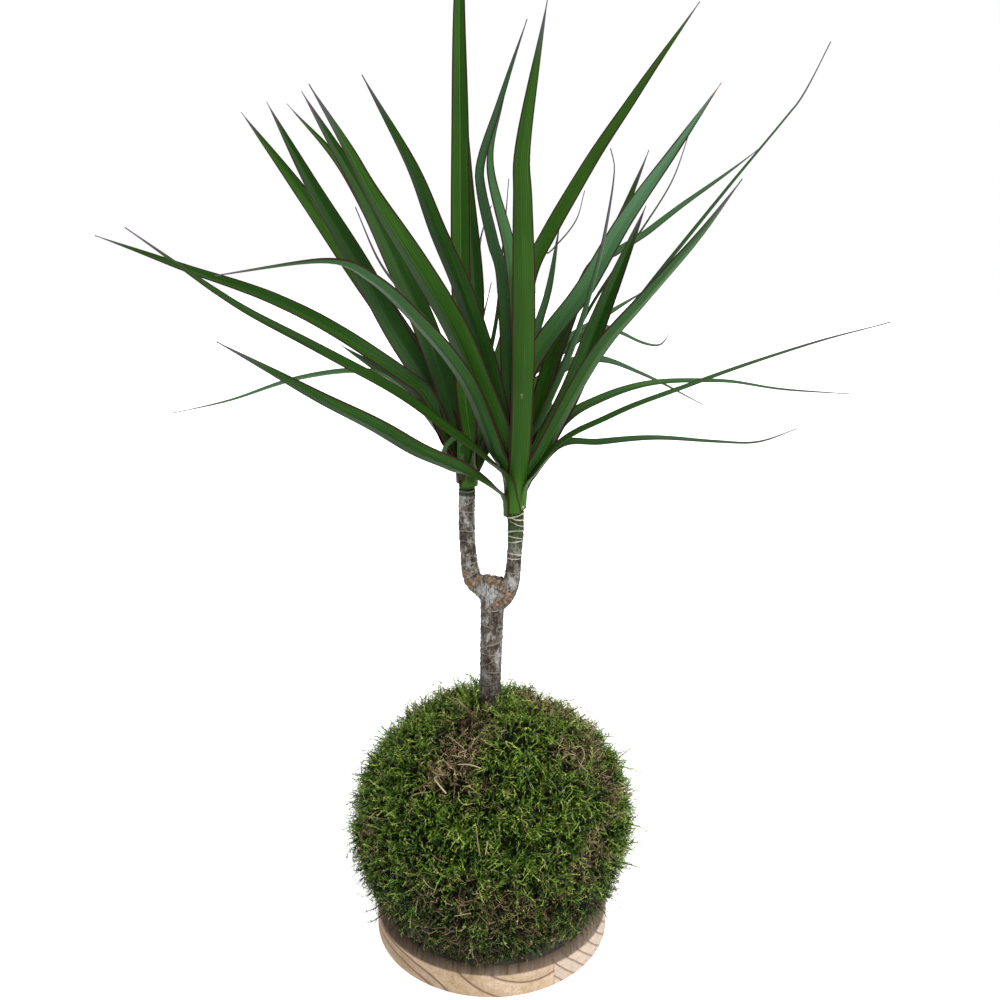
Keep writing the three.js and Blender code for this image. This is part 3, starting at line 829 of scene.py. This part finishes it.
scar_layer = stem.verts.layers.float.new("scar")
cork_layer = stem.verts.layers.float.new("cork")
pale_layer = stem.verts.layers.float.new("pale")
stem.normal_update()
for corner in stem.verts:
    x, y, z = (value / MM for value in corner.co)
    if z < FORK_Z:
        limb, centre = "trunk", 0
    else:
        limb, centre = ("left", -ARM_X) if x < 0 else ("right", ARM_X)
    wander = noise.noise(corner.co * 170)
    scar = 0
    for level, tilt, width in SCARS[limb]:
        gap = z - level - tilt * (x - centre) - wander * 0.9
        line = math.exp(-((gap / width) ** 2)) - 0.7 * math.exp(-(((gap + 2 * width) / (1.3 * width)) ** 2))
        break_up = 0.9 if limb == "trunk" else 0.35
        line *= 0.8 + break_up * noise.noise(corner.co * 230 + Vector((level, 0, 0)))
        scar = line if abs(line) > abs(scar) else scar
    cork = 0
    for spot_x, spot_y, spot_z, reach in CORK_SPOTS:
        away = math.dist((x, y, z), (spot_x, spot_y, spot_z)) + noise.noise(corner.co * 420) * 2.4
        cork = max(cork, min(max(2 - away / reach, 0), 1))
    fine = noise.noise(corner.co * 620) * 0.22 + noise.noise(corner.co * 1500) * 0.1
    lumps = noise.noise(corner.co * 300) * 0.5 * cork
    stump = max(0, 1 - math.hypot(x / 1.4, y) / 6) * max(0, 1 - abs(z - 189) / 3.5)
    torn = stump * (noise.noise(corner.co * 600) * 4.5 + 0.16 * abs(x))
    corner.co += corner.normal * ((scar * 0.22 + fine + lumps) * MM)
    corner.co.z += torn * MM
    corner[scar_layer] = scar
    corner[cork_layer] = cork
    corner[pale_layer] = math.exp(-((math.dist((x, y, z), PALE_SPOT) / PALE_REACH) ** 2))

# %% [markdown]
# Young bark is grey-brown with paler patches and short upright cracks. The top of each arm is still green,
# and greener on the right one, where the rings are cream. Cork is warm brown.

# %% Bark
bark = Finish("bark")
bark_x, _, bark_z = bark.axes()
patches = bark.cloud(bark.stretched((1, 1, 0.6)), 190, 3, 0.6)
mottling = bark.cloud(bark.stretched((1000, 1000, 560)), 1, 4, 0.75)
cracks = bark.cloud(bark.stretched((1500, 1500, 300)), 1, 3, 0.7)
speck = bark.cloud(bark.place(), 650, 3, 0.6)
paler_above = bark_z.rise(186 * MM, 194 * MM) * 0.013
grey = bark.ramp(
    patches * 0.55 + mottling * 0.45 + bark.carried("pale") * 0.125 + paler_above,
    (0.38, (0.018, 0.012, 0.008)),
    (0.455, (0.062, 0.046, 0.033)),
    (0.53, (0.165, 0.145, 0.12)),
    (0.61, (0.43, 0.435, 0.42)),
)
cork_colour = bark.ramp(
    speck * 0.7 + mottling * 0.3,
    (0.36, (0.04, 0.02, 0.012)),
    (0.5, (0.20, 0.13, 0.08)),
    (0.64, (0.44, 0.33, 0.235)),
)
right_side = bark_x.rise(0.0, 2 * MM)
right_green = right_side * (bark_z + (patches - 0.5) * (26 * MM)).rise(203 * MM, 216 * MM)
left_green = (1 - right_side) * bark_z.rise(230.2 * MM, 231.2 * MM)
green_colour = bark.ramp(
    mottling,
    (0.38, (0.008, 0.02, 0.004)),
    (0.52, (0.028, 0.062, 0.012)),
    (0.66, (0.10, 0.15, 0.05)),
)
cream_share = bark_z.rise(196 * MM, 203 * MM) * right_side
ring_colour = bark.layered((0.33, 0.30, 0.26), ((0.70, 0.67, 0.52), cream_share))
scar_share = bark.carried("scar")
foot_dark = 1 - bark_z.rise(134 * MM, 150 * MM)
bark_material = bark.done(
    Base_Color=bark.layered(
        grey,
        ((0.016, 0.011, 0.008), cracks.rise(0.52, 0.64) * 0.8),
        (cork_colour, bark.carried("cork").rise(0.45, 0.75) * 0.9),
        (green_colour, right_green * 0.92),
        ((0.018, 0.035, 0.009), left_green * 0.9),
        (ring_colour, scar_share.rise(0.25, 0.7) * 0.75),
        # painted shadow in the groove just below each leaf-scar ring
        ((0.02, 0.015, 0.01), (0 - scar_share).rise(0.25, 0.6) * 0.6),
        ((0.035, 0.024, 0.017), foot_dark * 0.6),
    ),
    Roughness=0.75,
    Specular_IOR_Level=0.2,
    Normal=bark.relief(mottling * 0.5 - cracks * 0.6, 0.35 * MM),
)
finished("forked_stem", stem, bark_material, "bark", "trunk")

# %% [markdown]
# A leaf of this plant is a long strap that clasps the shoot at its foot, is widest a fifth of the way up
# and runs out to a hair. It is folded along its midrib. Each is a narrow grid laid along the leaf's own
# course, and a whole head of them is thickened at once. The courses are close to those of the CAD source.

# %% The leaves' courses
SHOOT_PROFILE = [[3.8, 0], [4.0, 3], [4.2, 10], [3.8, 20], [1.6, 30]]
CLASP_FULL = 3
CLASP_END = (10, 27)
CLASP_SLOPES = (0.72, 0.92)
CLASP_LAYER = 0.08
CLASP_DROP = 3.2
GRIP_END = 9
GRIP_SPREAD = 0.9
LEAF_FOLD = 0.36
RIPPLE = 0.25
LEAF_WIDEST = 0.35
LEAF_TAPER = 2
NARROW_LEAF = 7.5
NARROW_WIDEST = 0.15
NARROW_TAPER = 1.15
LEAF_TIP_WIDTH = 0.35
LEAF_BASE_WIDTH = 0.75
SHEATH_END = 0.12
LEAF_ROOT = 2.6
LEAF_THICKNESS = 0.45
LEAF_COLUMNS = 8
TWIST = (0.09, 0.22)
SHORTEST = 120
LEAF_STEP = 3.2

# Height of the foot on the shoot, greatest width, roll in degrees, and the points of the midrib. A leaf
# with two rolls twists from the first at its foot to the second.
RIGHT_LEAVES = [
    [-1, 8.5, (-13, 45), [1.4, -9, 236], [-13.8, -20, 248], [-30, -34, 259], [-46, -52, 273],
     [-69, -74, 291], [-98, -95, 313]],
    [1, 7.6, (-3, -33), [7.5, -9.5, 239.5], [-5.8, -15, 254.5], [-21, -24, 268.3], [-48, -36, 290],
     [-98, -53, 321], [-140, -60, 353]],
    [2.5, 10, -10, [13, -12, 245], [14, -22, 280], [14, -38, 324], [13, -52, 363], [13, -58, 384],
     [21, -72, 431]],
    [7, 9, 20, [2.6, -10.5, 250], [-0.8, -15, 262], [-11, -32, 290], [-30, -50, 317], [-45, -64, 333],
     [-61, -74, 340], [-98, -91, 336]],
    [9, 12.5, 25, [6, -8.5, 252], [2.8, -11.5, 264], [-6, -20, 287], [-19, -35, 319], [-44, -56, 363],
     [-53, -62, 381], [-65, -70, 403]],
    [12, 10.5, 35, [0, -12, 286], [-11, -22, 323], [-22, -28, 351], [-32, -32, 377], [-50, -37, 411]],
    [15, 6, 10, [-22, -15, 304], [-35, -25, 323], [-46, -31, 339], [-54, -40, 361]],
    [11, 9, 55, [13.2, -1, 266], [15.4, 1, 286], [25.5, 5, 304], [43, 13, 326], [63, 25, 358],
     [86, 36, 389], [109, 50, 420]],
    [9, 10.5, 35, [34, 8, 271], [43, 14, 290], [50, 20, 308], [62, 30, 336], [74, 40, 364]],
    [5, 8.5, -20, [36, -20, 280], [49, -30, 305], [64, -42, 325], [82, -60, 351], [93, -74, 370]],
    [8, 6, 25, [48, -15, 298], [84, -25, 350], [118, -30, 394], [126, -30, 405], [135, -30, 424]],
    [3.5, 7, 15, [31, -14, 258], [52, -20, 271], [77, -25, 283], [131, -32, 304], [167, -36, 315]],
    [6, 7, 20, [33, 10, 262], [52, 21, 273], [80, 34, 279], [115, 43, 279], [147, 50, 274],
     [188, 60, 270]],
    [4, 7.4, 15, [31, 6, 253], [52, 14, 253], [80, 22, 254], [110, 28, 251], [133, 33, 250],
     [154, 38, 256]],
    [14, 8, 10, [34, 20, 307], [59, 45, 349], [72, 58, 377], [78, 65, 391]],
    [16, 7, -10, [38, -6, 303], [46, -13, 333], [50, -18, 356], [52, -21, 376], [50, -22, 385]],
    [10, 5, -15, [39, 22, 300], [63, 42, 338], [75, 50, 354], [89, 57, 376], [97, 60, 399]],
    [12, 7.6, 5, [46, 48, 326], [61, 56, 340], [79, 66, 351], [103, 78, 368], [125, 88, 383],
     [140, 95, 394]],
    [17, 9.5, -30, [9, 4, 281], [7, 14, 330], [2, 17, 348], [-3, 20, 370], [-3, 20, 383], [5, 16, 408],
     [16, 10, 440]],
    [16, 9, 25, [11, 15, 303], [8, 30, 343], [-1, 34, 382], [6, 24, 411]],
    [15, 9, 25, [12, 6, 276], [17, 14, 326], [28, 24, 351], [46, 32, 381], [66, 39, 411], [97, 50, 455]],
    [18, 5.5, -30, [19, 62, 331], [31, 78, 342], [44, 88, 357], [49, 93, 373]],
    [18, 7.6, -30, [17, 20, 288], [24, 35, 308], [29, 47, 324], [34, 58, 355]],
    [4, 8, 15, [22, 40, 250], [29, 85, 255], [35, 130, 256]],
]
LEFT_LEAVES = [
    [7, 11.5, -45, [-26, 18, 274], [-46, 33, 304], [-65, 50, 335], [-90, 68, 374], [-115, 88, 416]],
    [9, 12, -55, [-33, 33, 285], [-54, 60, 313], [-79, 88, 343], [-105, 110, 375], [-139, 132, 416]],
    [6, 8.5, -37, [-29, 12, 274], [-42, 18, 285], [-71, 26, 303], [-104, 36, 319], [-147, 46, 333],
     [-197, 56, 350]],
    [4, 6, 45, [-30, 28, 260], [-49, 48, 277], [-67, 58, 282], [-104, 76, 276], [-145, 90, 262],
     [-181, 100, 253]],
    [11, 8, -45, [-36, 50, 309], [-75, 95, 379], [-111, 120, 419]],
    [8, 12, -45, [-20, 16, 274], [-31, 28, 305], [-45, 38, 335], [-61, 46, 367], [-91, 56, 417]],
    [4.5, 9.2, 0, [-9.6, 2.2, 256], [-12.5, 6, 285], [-14, 18, 336], [-14, 25, 395], [-14, 30, 452],
     [-12, 36, 512]],
    [10, 9.5, 0, [-9, 25, 297], [-8, 36, 325], [-11, 50, 371], [-12, 60, 408]],
    [12, 7, -40, [-6, 40, 298], [-6, 62, 343], [0, 75, 365]],
    [13, 5, -45, [-6, 40, 298], [0, 60, 327]],
    [14, 5, -40, [2, 60, 303], [6, 85, 343], [9, 95, 379]],
    [5, 8, 25, [-18, 30, 252], [-26, 75, 234]],
    [8, 7.6, 45, [4, 45, 270], [37, 95, 289], [61, 116, 299], [88, 131, 289], [99, 136, 288],
     [105, 138, 296]],
    [5, 7.6, 35, [7, 40, 263], [36, 80, 280], [60, 98, 283], [88, 110, 272], [122, 118, 255]],
    [10, 7.6, 15, [4, 55, 273], [46, 105, 296], [93, 140, 321]],
    [11, 9, 25, [-14, 40, 280], [-16, 90, 317], [-19, 130, 353]],
    [8, 9, -10, [-28, 40, 270], [-53, 95, 297], [-82, 150, 333]],
    [8, 7.6, 55, [-15.4, 3, 257.5], [-19.5, 3, 256], [-23.5, 3, 249]],
    [4, 8, -20, [-31, 45, 267], [-60, 100, 275], [-92, 150, 286]],
    [9, 9, -10, [-1, 50, 269], [9, 100, 300], [16, 150, 336]],
    [5, 8, 0, [-12, 60, 251], [-10, 120, 258], [-10, 170, 256]],
    [4, 8, 40, [-1, 60, 251], [16, 120, 258], [29, 165, 257]],
]

# %% Leaves and shoots
LEAF_LABELS = ("along", "tone", "side", "edge", "end", "wide", "painted_sheen")
SHOOT_CARRIES = (0.12, 0.1, 3, 3, 100)
GOLDEN_SHARE = 0.618
# Leaves that get a painted blue-green sheen towards the tip, standing for reflected light, and how strong it
# is.
PAINTED_SHEEN_LEAVES = {
    "right_leafy_head": {3: 0.7, 7: 1.8, 9: 0.6} | dict.fromkeys((10, 11, 12, 13, 15, 17, 18, 19, 22), 1),
    "left_leafy_head": {3: 1.4, 12: 1, 13: 1, 14: 1, 17: 1},
}
# Tones set one by one for some leaves. The darkest of them stand in partly for leaves that lie in the shade of
# others: painted shade.
LEAF_TONES = {
    "right_leafy_head": {0: 0.1, 1: 0.3, 2: 0.64, 3: 0.12, 8: 0.05, 9: 0.5, 20: 0.7},
    "left_leafy_head": {6: 0.48, 7: 0.1},
}


def strap(width, along):
    """A leaf's width at a share of its length. A narrow leaf runs out sooner, to a longer hair."""
    sheath = LEAF_BASE_WIDTH + (1 - LEAF_BASE_WIDTH) * min(along / SHEATH_END, 1)
    widest, power = (LEAF_WIDEST, LEAF_TAPER) if width > NARROW_LEAF else (NARROW_WIDEST, NARROW_TAPER)
    taper = max(along - widest, 0) / (1 - widest)
    return width * sheath * (1 - taper**power)


def carry(corner, layers, values):
    for layer, value in zip(layers, values):
        corner[layer] = value


def add_leaf(bm, layers, foot, row, tone, painted_sheen):
    """Adds one leaf to a head, still as thin as paper."""
    climb, width, roll, *route = row
    rolls = roll if isinstance(roll, tuple) else (roll, roll)
    first = np.array(route[0], float)
    outward = first - foot
    outward[2] = 0
    outward /= np.linalg.norm(outward)
    start = foot + outward * LEAF_ROOT + np.array([0, 0, climb])
    rows = int(course([start, *route], 8)[2] / LEAF_STEP)
    places, tangents, length = course([start, *route], rows)
    way = places[-1] - places[0]
    way[2] = 0
    level = np.cross((0, 0, 1), way / np.linalg.norm(way))
    radii, levels = np.transpose(SHOOT_PROFILE)
    steep = np.interp((first - start)[2] / np.linalg.norm(first - start), CLASP_SLOPES, (0, 1))
    clasp_end = np.interp(steep, (0, 1), CLASP_END)
    made = bmesh.ops.create_grid(bm, x_segments=LEAF_COLUMNS, y_segments=rows, size=1)["verts"]
    for corner in made:
        side = corner.co.x
        row_number = round((corner.co.y + 1) / 2 * rows)
        along = row_number / rows
        tangent = tangents[row_number]
        across = level - tangent * np.dot(level, tangent)
        across = Vector(across).normalized()
        turned = Vector(tangent)
        angle = math.radians(np.interp(along, TWIST, rolls))
        across = across * math.cos(angle) + turned.cross(across) * math.sin(angle)
        face = turned.cross(across)
        clasp = min(max((clasp_end - along * length) / (clasp_end - CLASP_FULL), 0), 1)
        clasp = clasp * clasp * (3 - 2 * clasp)
        grip = max(1 - along * length / GRIP_END, 0)
        wrap = 1 + steep * (0.45 * clasp + GRIP_SPREAD * grip) - (1 - steep) * 0.6 * grip
        half = max(strap(width, along), LEAF_TIP_WIDTH) / 2 * wrap
        ripple = RIPPLE * math.sin(along * length / 9 + tone * 40) * abs(side) ** 2 * min(half / 3, 1)
        lift = half * LEAF_FOLD * abs(side) + ripple
        free = Vector(places[row_number]) + across * (side * half) + face * lift
        height = places[row_number, 2] - CLASP_DROP * clasp
        radius = np.interp(height - foot[2], levels, radii) + 0.1 + (20 - climb) * CLASP_LAYER
        around = math.atan2(outward[1], outward[0]) + side * half / radius
        held = Vector((foot[0] + radius * math.cos(around), foot[1] + radius * math.sin(around), height))
        spot = free.lerp(held, clasp)
        corner.co = spot * MM
        end = (1 - along) * max(length, SHORTEST)
        carry(corner, layers, (along, tone, side * half, half * (1 - abs(side)), end, width, painted_sheen))


def head(name, arm_route, rows, node):
    """Makes a green shoot with all its leaves."""
    x, y, z, _ = arm_route[-1]
    foot = np.array([x, y, z + 0.3])
    bm = bmesh.new()
    layers = [bm.verts.layers.float.new(label) for label in LEAF_LABELS]
    for number, row in enumerate(rows):
        tone = LEAF_TONES[name].get(number, (number * GOLDEN_SHARE) % 1)
        add_leaf(bm, layers, foot, row, tone, PAINTED_SHEEN_LEAVES[name].get(number, 0))
    bmesh.ops.solidify(bm, geom=bm.faces[:] + bm.edges[:] + bm.verts[:], thickness=LEAF_THICKNESS * MM)
    blades = set(bm.verts)
    shoot = [[foot[0], foot[1], foot[2] + level, radius] for radius, level in SHOOT_PROFILE]
    tube(bm, metres(shoot), 24, 1.5 * MM)
    for corner in set(bm.verts) - blades:
        carry(corner, layers, SHOOT_CARRIES)
    return finished(name, bm, leaf_material, "leaf", node, sharp=50)


# %% [markdown]
# The blade is a deep glossy green with faint lengthwise lines and a thin wine-red margin. Some leaves get a
# pale line along the midrib, which is a painted highlight, and a few get a blue-green painted sheen towards
# the tip. One half of each blade is darkened with painted shade. The blade's clasping foot is yellow-green,
# and its tip dries to purple-grey and brown. A few marks are set one by one: a scratch, a dark brown patch at
# the foot of the left shoot, a node and a red tip, each a place, a reach and a colour.

# %% The finish of the leaves
leaf = Finish("leaf")
MARK_DEPTH = 0.3
LEAF_MARKS = [
    (13.7, -23, 282.6, 0.8, 0.7, (0.30, 0.22, 0.10)),
    (13.8, -23, 281.4, 0.6, 0.5, (0.30, 0.22, 0.10)),
    (15.0, -8, 227.6, 1.0, 0.8, (0.46, 0.32, 0.25)),
    (-14.2, 0, 240.6, 3.6, 0.75, (0.030, 0.020, 0.010)),
    (-9.5, 0, 239.5, 2.6, 0.6, (0.030, 0.020, 0.010)),
    (107, 49, 417, 6, 0.8, (0.33, 0.08, 0.08)),
]
leaf_along, leaf_tone, side, edge, end, leaf_width, painted_sheen = [leaf.carried(label) for label in LEAF_LABELS]
lines = leaf.math("SINE", side * 7.5 + leaf_tone * 30)
fine_lines = leaf.math("SINE", side * 19 + leaf_tone * 50)
strip = leaf.node("ShaderNodeCombineXYZ", sockets={0: side * 1.4, 1: leaf_along * 2.2, 2: leaf_tone * 40})
veins = leaf.cloud(strip, 2.2, 4, 0.7)
blotch = leaf.cloud(leaf.place(), 30, 3, 0.5)
blade = leaf.ramp(
    leaf_tone * 0.55 + blotch * 0.45,
    (0.2, (0.010, 0.052, 0.004)),
    (0.5, (0.024, 0.092, 0.004)),
    (0.8, (0.050, 0.140, 0.008)),
)
# Painted shade: one half of each blade is darkened, as if the fold turned it away from the light.
painted_shade_half = (side * (leaf_tone.rise(0.63, 0.65) * 2 - 1)).rise(-0.2, 0.2)
# Painted highlight: a pale line along the midrib of some leaves.
midrib_highlight_tone = leaf_tone.rise(0.4, 0.5) * (1 - leaf_tone.rise(0.55, 0.62))
midrib_highlight = (1 - (side * side).rise(0.01, 0.1)) * midrib_highlight_tone * 0.45
foot_share = 1 - leaf_along.rise(0.02, 0.1)
broader_below = (1 - leaf_along.rise(0.08, 0.4)) * 0.45
margin = 1 - (edge + (veins - 0.5) * 0.5 - broader_below).rise(0.3, 0.8)
margin = margin * leaf_width.rise(5, 9) * end.rise(4, 40)
narrow = 1 - leaf_width.rise(7.2, 7.6)
withering = 1 - (end * (1 - narrow * 0.6) + (blotch - 0.5) * 12).rise(3.0, 24.0)
marks = []
squeezed = leaf.stretched((1, MARK_DEPTH, 1))
for x, y, z, reach, share, colour in LEAF_MARKS:
    spot = (x * MM, y * MARK_DEPTH * MM, z * MM)
    gap = leaf.node("ShaderNodeVectorMath", {"operation": "DISTANCE"}, {0: squeezed, 1: spot}, output=1)
    ragged_gap = gap + (veins - 0.5) * (reach * MM)
    marks.append((colour, (1 - ragged_gap.rise(reach * 0.4 * MM, reach * MM)) * share))
leaf_material = leaf.done(
    Base_Color=leaf.layered(
        blade,
        ((0.08, 0.20, 0.016), veins.rise(0.5, 0.75) * 0.45),
        ((0.006, 0.028, 0.003), lines.rise(0.0, 1.0) * 0.35),
        ((0.09, 0.2, 0.03), fine_lines.rise(0.3, 1.0) * veins.rise(0.4, 0.6) * 0.3),
        # painted shade on one half of the blade
        ((0.008, 0.04, 0.004), painted_shade_half * 0.38),
        # painted blue-green sheen towards the tip
        ((0.10, 0.23, 0.12), painted_sheen * (0.07 + leaf_along.rise(0.25, 0.8) * 0.33)),
        # painted highlight along the midrib
        ((0.1, 0.24, 0.05), midrib_highlight),
        ((0.052, 0.155, 0.013), foot_share * 0.65),
        ((0.035, 0.004, 0.008), margin * 0.93),
        ((0.12, 0.08, 0.125), withering * 0.85),
        *marks,
    ),
    Roughness=0.3 + veins * 0.14,
    Specular_IOR_Level=0.12,
    Normal=leaf.relief(veins * 0.6 + lines * 0.2, 0.08 * MM),
)
head("left_leafy_head", LEFT_ARM_ROUTE, LEFT_LEAVES, "left_head")
head("right_leafy_head", RIGHT_ARM_ROUTE, RIGHT_LEAVES, "right_head")

# %% [markdown]
# The thread is clear nylon. It lies pulled down between the fronds and shows only where it crosses a bald
# spot high on the right, so it is thin and smooth, and comes up a little there.

# %% The thread
nylon = Finish("nylon")
nylon_material = nylon.done(Base_Color=(0.62, 0.88, 0.70, 1), Roughness=0.15, IOR=1.53, Alpha=0.5)
THREAD_RADIUS = 0.12 * MM
THREAD_SIDES = 6
THREAD_STEPS = 150
THREAD_DEPTH = 3.0
GLINT = (28, 53)
GLINT_REACH = 5
GLINT_RISE = 3.6

thread = bmesh.new()
for unit, offset in THREAD_TURNS:
    first = np.cross((0, 0, 1), unit)
    first /= np.linalg.norm(first)
    second = np.cross(unit, first)
    level = offset / BALL_RADIUS
    angles = np.linspace(0, 2 * math.pi, THREAD_STEPS, endpoint=False)
    wide = math.sqrt(1 - level * level)
    rays = level * unit + wide * (np.cos(angles)[:, None] * first + np.sin(angles)[:, None] * second)
    proud = GLINT_RISE * np.exp(-((degrees_from(rays, *GLINT) / GLINT_REACH) ** 2)) - THREAD_DEPTH
    line = ball_points(rays, (proud - hollows(rays) * 0.7) * MM, SAUCER_FLOOR + 0.6 * MM)
    made = bmesh.ops.create_grid(thread, x_segments=THREAD_SIDES, y_segments=THREAD_STEPS, size=1)["verts"]
    for corner in made:
        step = round((corner.co.y + 1) / 2 * THREAD_STEPS) % THREAD_STEPS
        angle = (corner.co.x + 1) * math.pi
        round_it = Vector(rays[step]) * math.cos(angle) + Vector(unit) * math.sin(angle)
        corner.co = Vector(line[step]) + round_it * THREAD_RADIUS
    bmesh.ops.remove_doubles(thread, verts=made, dist=WELD)
finished("nylon_thread", thread, nylon_material, "nylon", "binding_thread")

# %% [markdown]
# Moss cut in the wild brings straws and twigs with it. Each is a thin tube laid over the ball through a
# few directions, with its own height above the fronds.

# %% Straws and twigs
straw = Finish("straw")
fibre = straw.cloud(straw.place(), 700, 3, 0.6)
straw_material = straw.done(
    Base_Color=straw.ramp(
        straw.carried("tone") * 0.8 + fibre * 0.2,
        (0.1, (0.10, 0.035, 0.018)),
        (0.5, (0.30, 0.19, 0.09)),
        (0.9, (0.62, 0.52, 0.32)),
    ),
    Roughness=0.7,
)
STRAWS = [
    (0.5, 0.85, [(-20, 52, 4), (-13, 52.5, 4.5), (-6, 52, 3)]),
    (0.5, 0.1, [(-41, 37, 3), (-36, 40, 4.5), (-33, 45, 3)]),
    (0.8, 0.9, [(-31, 45, 3), (-26, 43, 4.5), (-22, 41, 3)]),
    (0.45, 0.6, [(-6, 31, 3), (-5, 26, 4.5), (-4, 21, 3)]),
    (0.5, 0.8, [(-1, 26, 3), (-1.5, 24, 4), (-2, 21, 3)]),
    (0.4, 0.5, [(-34, 9, 3), (-31, 10, 4.5), (-28, 10, 3)]),
    (0.4, 0.75, [(-13, -3, 3), (-10.5, -1, 5), (-7, -1, 3)]),
    (0.5, 0.15, [(32, 71, 3), (31, 69, 4.5), (30, 67, 3)]),
    (0.3, 0.9, [(57, 51, 4), (61, 49, 6), (60, 46, 5), (55, 45, 6), (51, 43, 4)]),
    (0.3, 0.8, [(54, 46, 4), (52, 43, 6), (54, 40, 5), (51, 38, 3)]),
    (0.35, 0.7, [(-38, 62, 4), (-30, 61, 5), (-20, 59, 3)]),
    (0.35, 0.7, [(-35, 51, 3), (-29, 52, 5), (-22, 50, 4)]),
    (0.4, 0.3, [(-23, 19, 3), (-20, 18, 4), (-17, 17, 3)]),
    (0.4, 0.6, [(140, 35, 3), (148, 38, 5), (156, 36, 3)]),
    (0.4, 0.3, [(-150, 50, 3), (-140, 47, 5), (-133, 45, 3)]),
    (0.45, 0.8, [(-95, 20, 3), (-92, 26, 5), (-88, 31, 3)]),
    (0.4, 0.7, [(175, 10, 3), (180, 15, 5), (-172, 18, 3)]),
]

TANGLE_COUNT = 150
TANGLE_HEIGHTS = (1.5, 3.5, 4.5, 1.5)
TANGLE_PATCHES = DRY_PATCHES[:9] + DRY_PATCHES[13:]
for number in range(TANGLE_COUNT):
    turn, tilt, reach, _ = TANGLE_PATCHES[number % len(TANGLE_PATCHES)]
    turn += random.gauss(0, reach * 0.5) / max(math.cos(math.radians(tilt)), 0.3)
    tilt += random.gauss(0, reach * 0.5)
    line = []
    for proud in TANGLE_HEIGHTS:
        line.append((turn, tilt, proud - hollows(heading(turn, tilt)[None])[0]))
        turn += random.uniform(-3.2, 3.2) / max(math.cos(math.radians(tilt)), 0.3)
        tilt += random.uniform(-2.6, 2.2)
    palest = 0.95 if tilt > 20 else 0.45
    STRAWS.append((random.uniform(0.22, 0.38), random.uniform(0.05, palest), line))

litter = bmesh.new()
tone_layer = litter.verts.layers.float.new("tone")
for thickness, straw_tone, line in STRAWS:
    known = set(litter.verts)
    route = []
    for turn, tilt, proud in line:
        point = ball_points(heading(turn, tilt)[None], np.array([proud * MM]))[0]
        route.append([*point, thickness * MM / 2])
    tube(litter, route, 5, 0.8 * MM)
    for corner in set(litter.verts) - known:
        corner[tone_layer] = straw_tone
finished("straws_and_twigs", litter, straw_material, "moss")

# %% [markdown]
# The soil ball stays the CAD solid, hidden by its moss, and gets the look of damp peat.

# %% Soil
soil = Finish("soil")
crumbs = soil.cloud(soil.place(), 300, 5, 0.7)
soil_material = soil.done(
    Base_Color=soil.ramp(crumbs, (0.3, (0.012, 0.008, 0.005)), (0.7, (0.06, 0.038, 0.022))),
    Roughness=0.95,
    Normal=soil.relief(crumbs, 1 * MM),
)
soil_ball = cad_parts["soil_ball"]
soil_ball.data.materials.clear()
soil_ball.data.materials.append(soil_material)

# %% [markdown]
# The plant stands on a plain white table in even light, as in a small photo studio: a white surround and
# one wide soft lamp high in front.

# %% Table and light
table = bmesh.new()
bmesh.ops.create_circle(table, cap_ends=True, segments=64, radius=6)
bmesh.ops.translate(table, verts=table.verts, vec=(0, 0, -0.2 * MM))
table_mesh = bpy.data.meshes.new("table")
table.to_mesh(table_mesh)
table.free()
floor = in_scene("table", table_mesh)
white = Finish("white table")
seen = white.node("ShaderNodeLightPath")
white_material = white.done(
    Base_Color=(0.9, 0.905, 0.91, 1),
    Roughness=0.8,
    Specular_IOR_Level=0.2,
    Emission_Color=white.layered((0.4, 0.4, 0.4), ((1, 1, 1), seen)),
    Emission_Strength=0.72,
)
table_mesh.materials.append(white_material)

ROOM_LIGHT = 0.5
LAMP_LIGHT = 2.3
LAMP_SPREAD = 50
world = bpy.data.worlds.new("studio")
world.use_nodes = True
room = world.node_tree
backdrop = room.nodes["Background"]
rays_seen = room.nodes.new("ShaderNodeLightPath")
strength = room.nodes.new("ShaderNodeMapRange")
strength.inputs["To Min"].default_value = ROOM_LIGHT
strength.inputs["To Max"].default_value = 1
room.links.new(rays_seen.outputs["Is Camera Ray"], strength.inputs["Value"])
room.links.new(strength.outputs[0], backdrop.inputs["Strength"])
backdrop.inputs["Color"].default_value = (1, 1, 1, 1)
scene.world = world
scene.view_settings.view_transform = "Standard"

sun_data = bpy.data.lights.new("window", "SUN")
sun_data.energy = LAMP_LIGHT
sun_data.angle = math.radians(LAMP_SPREAD)
sun = in_scene("window", sun_data)
sun.rotation_euler = Vector((-0.5, 0.55, -0.8)).to_track_quat("-Z", "Y").to_euler()
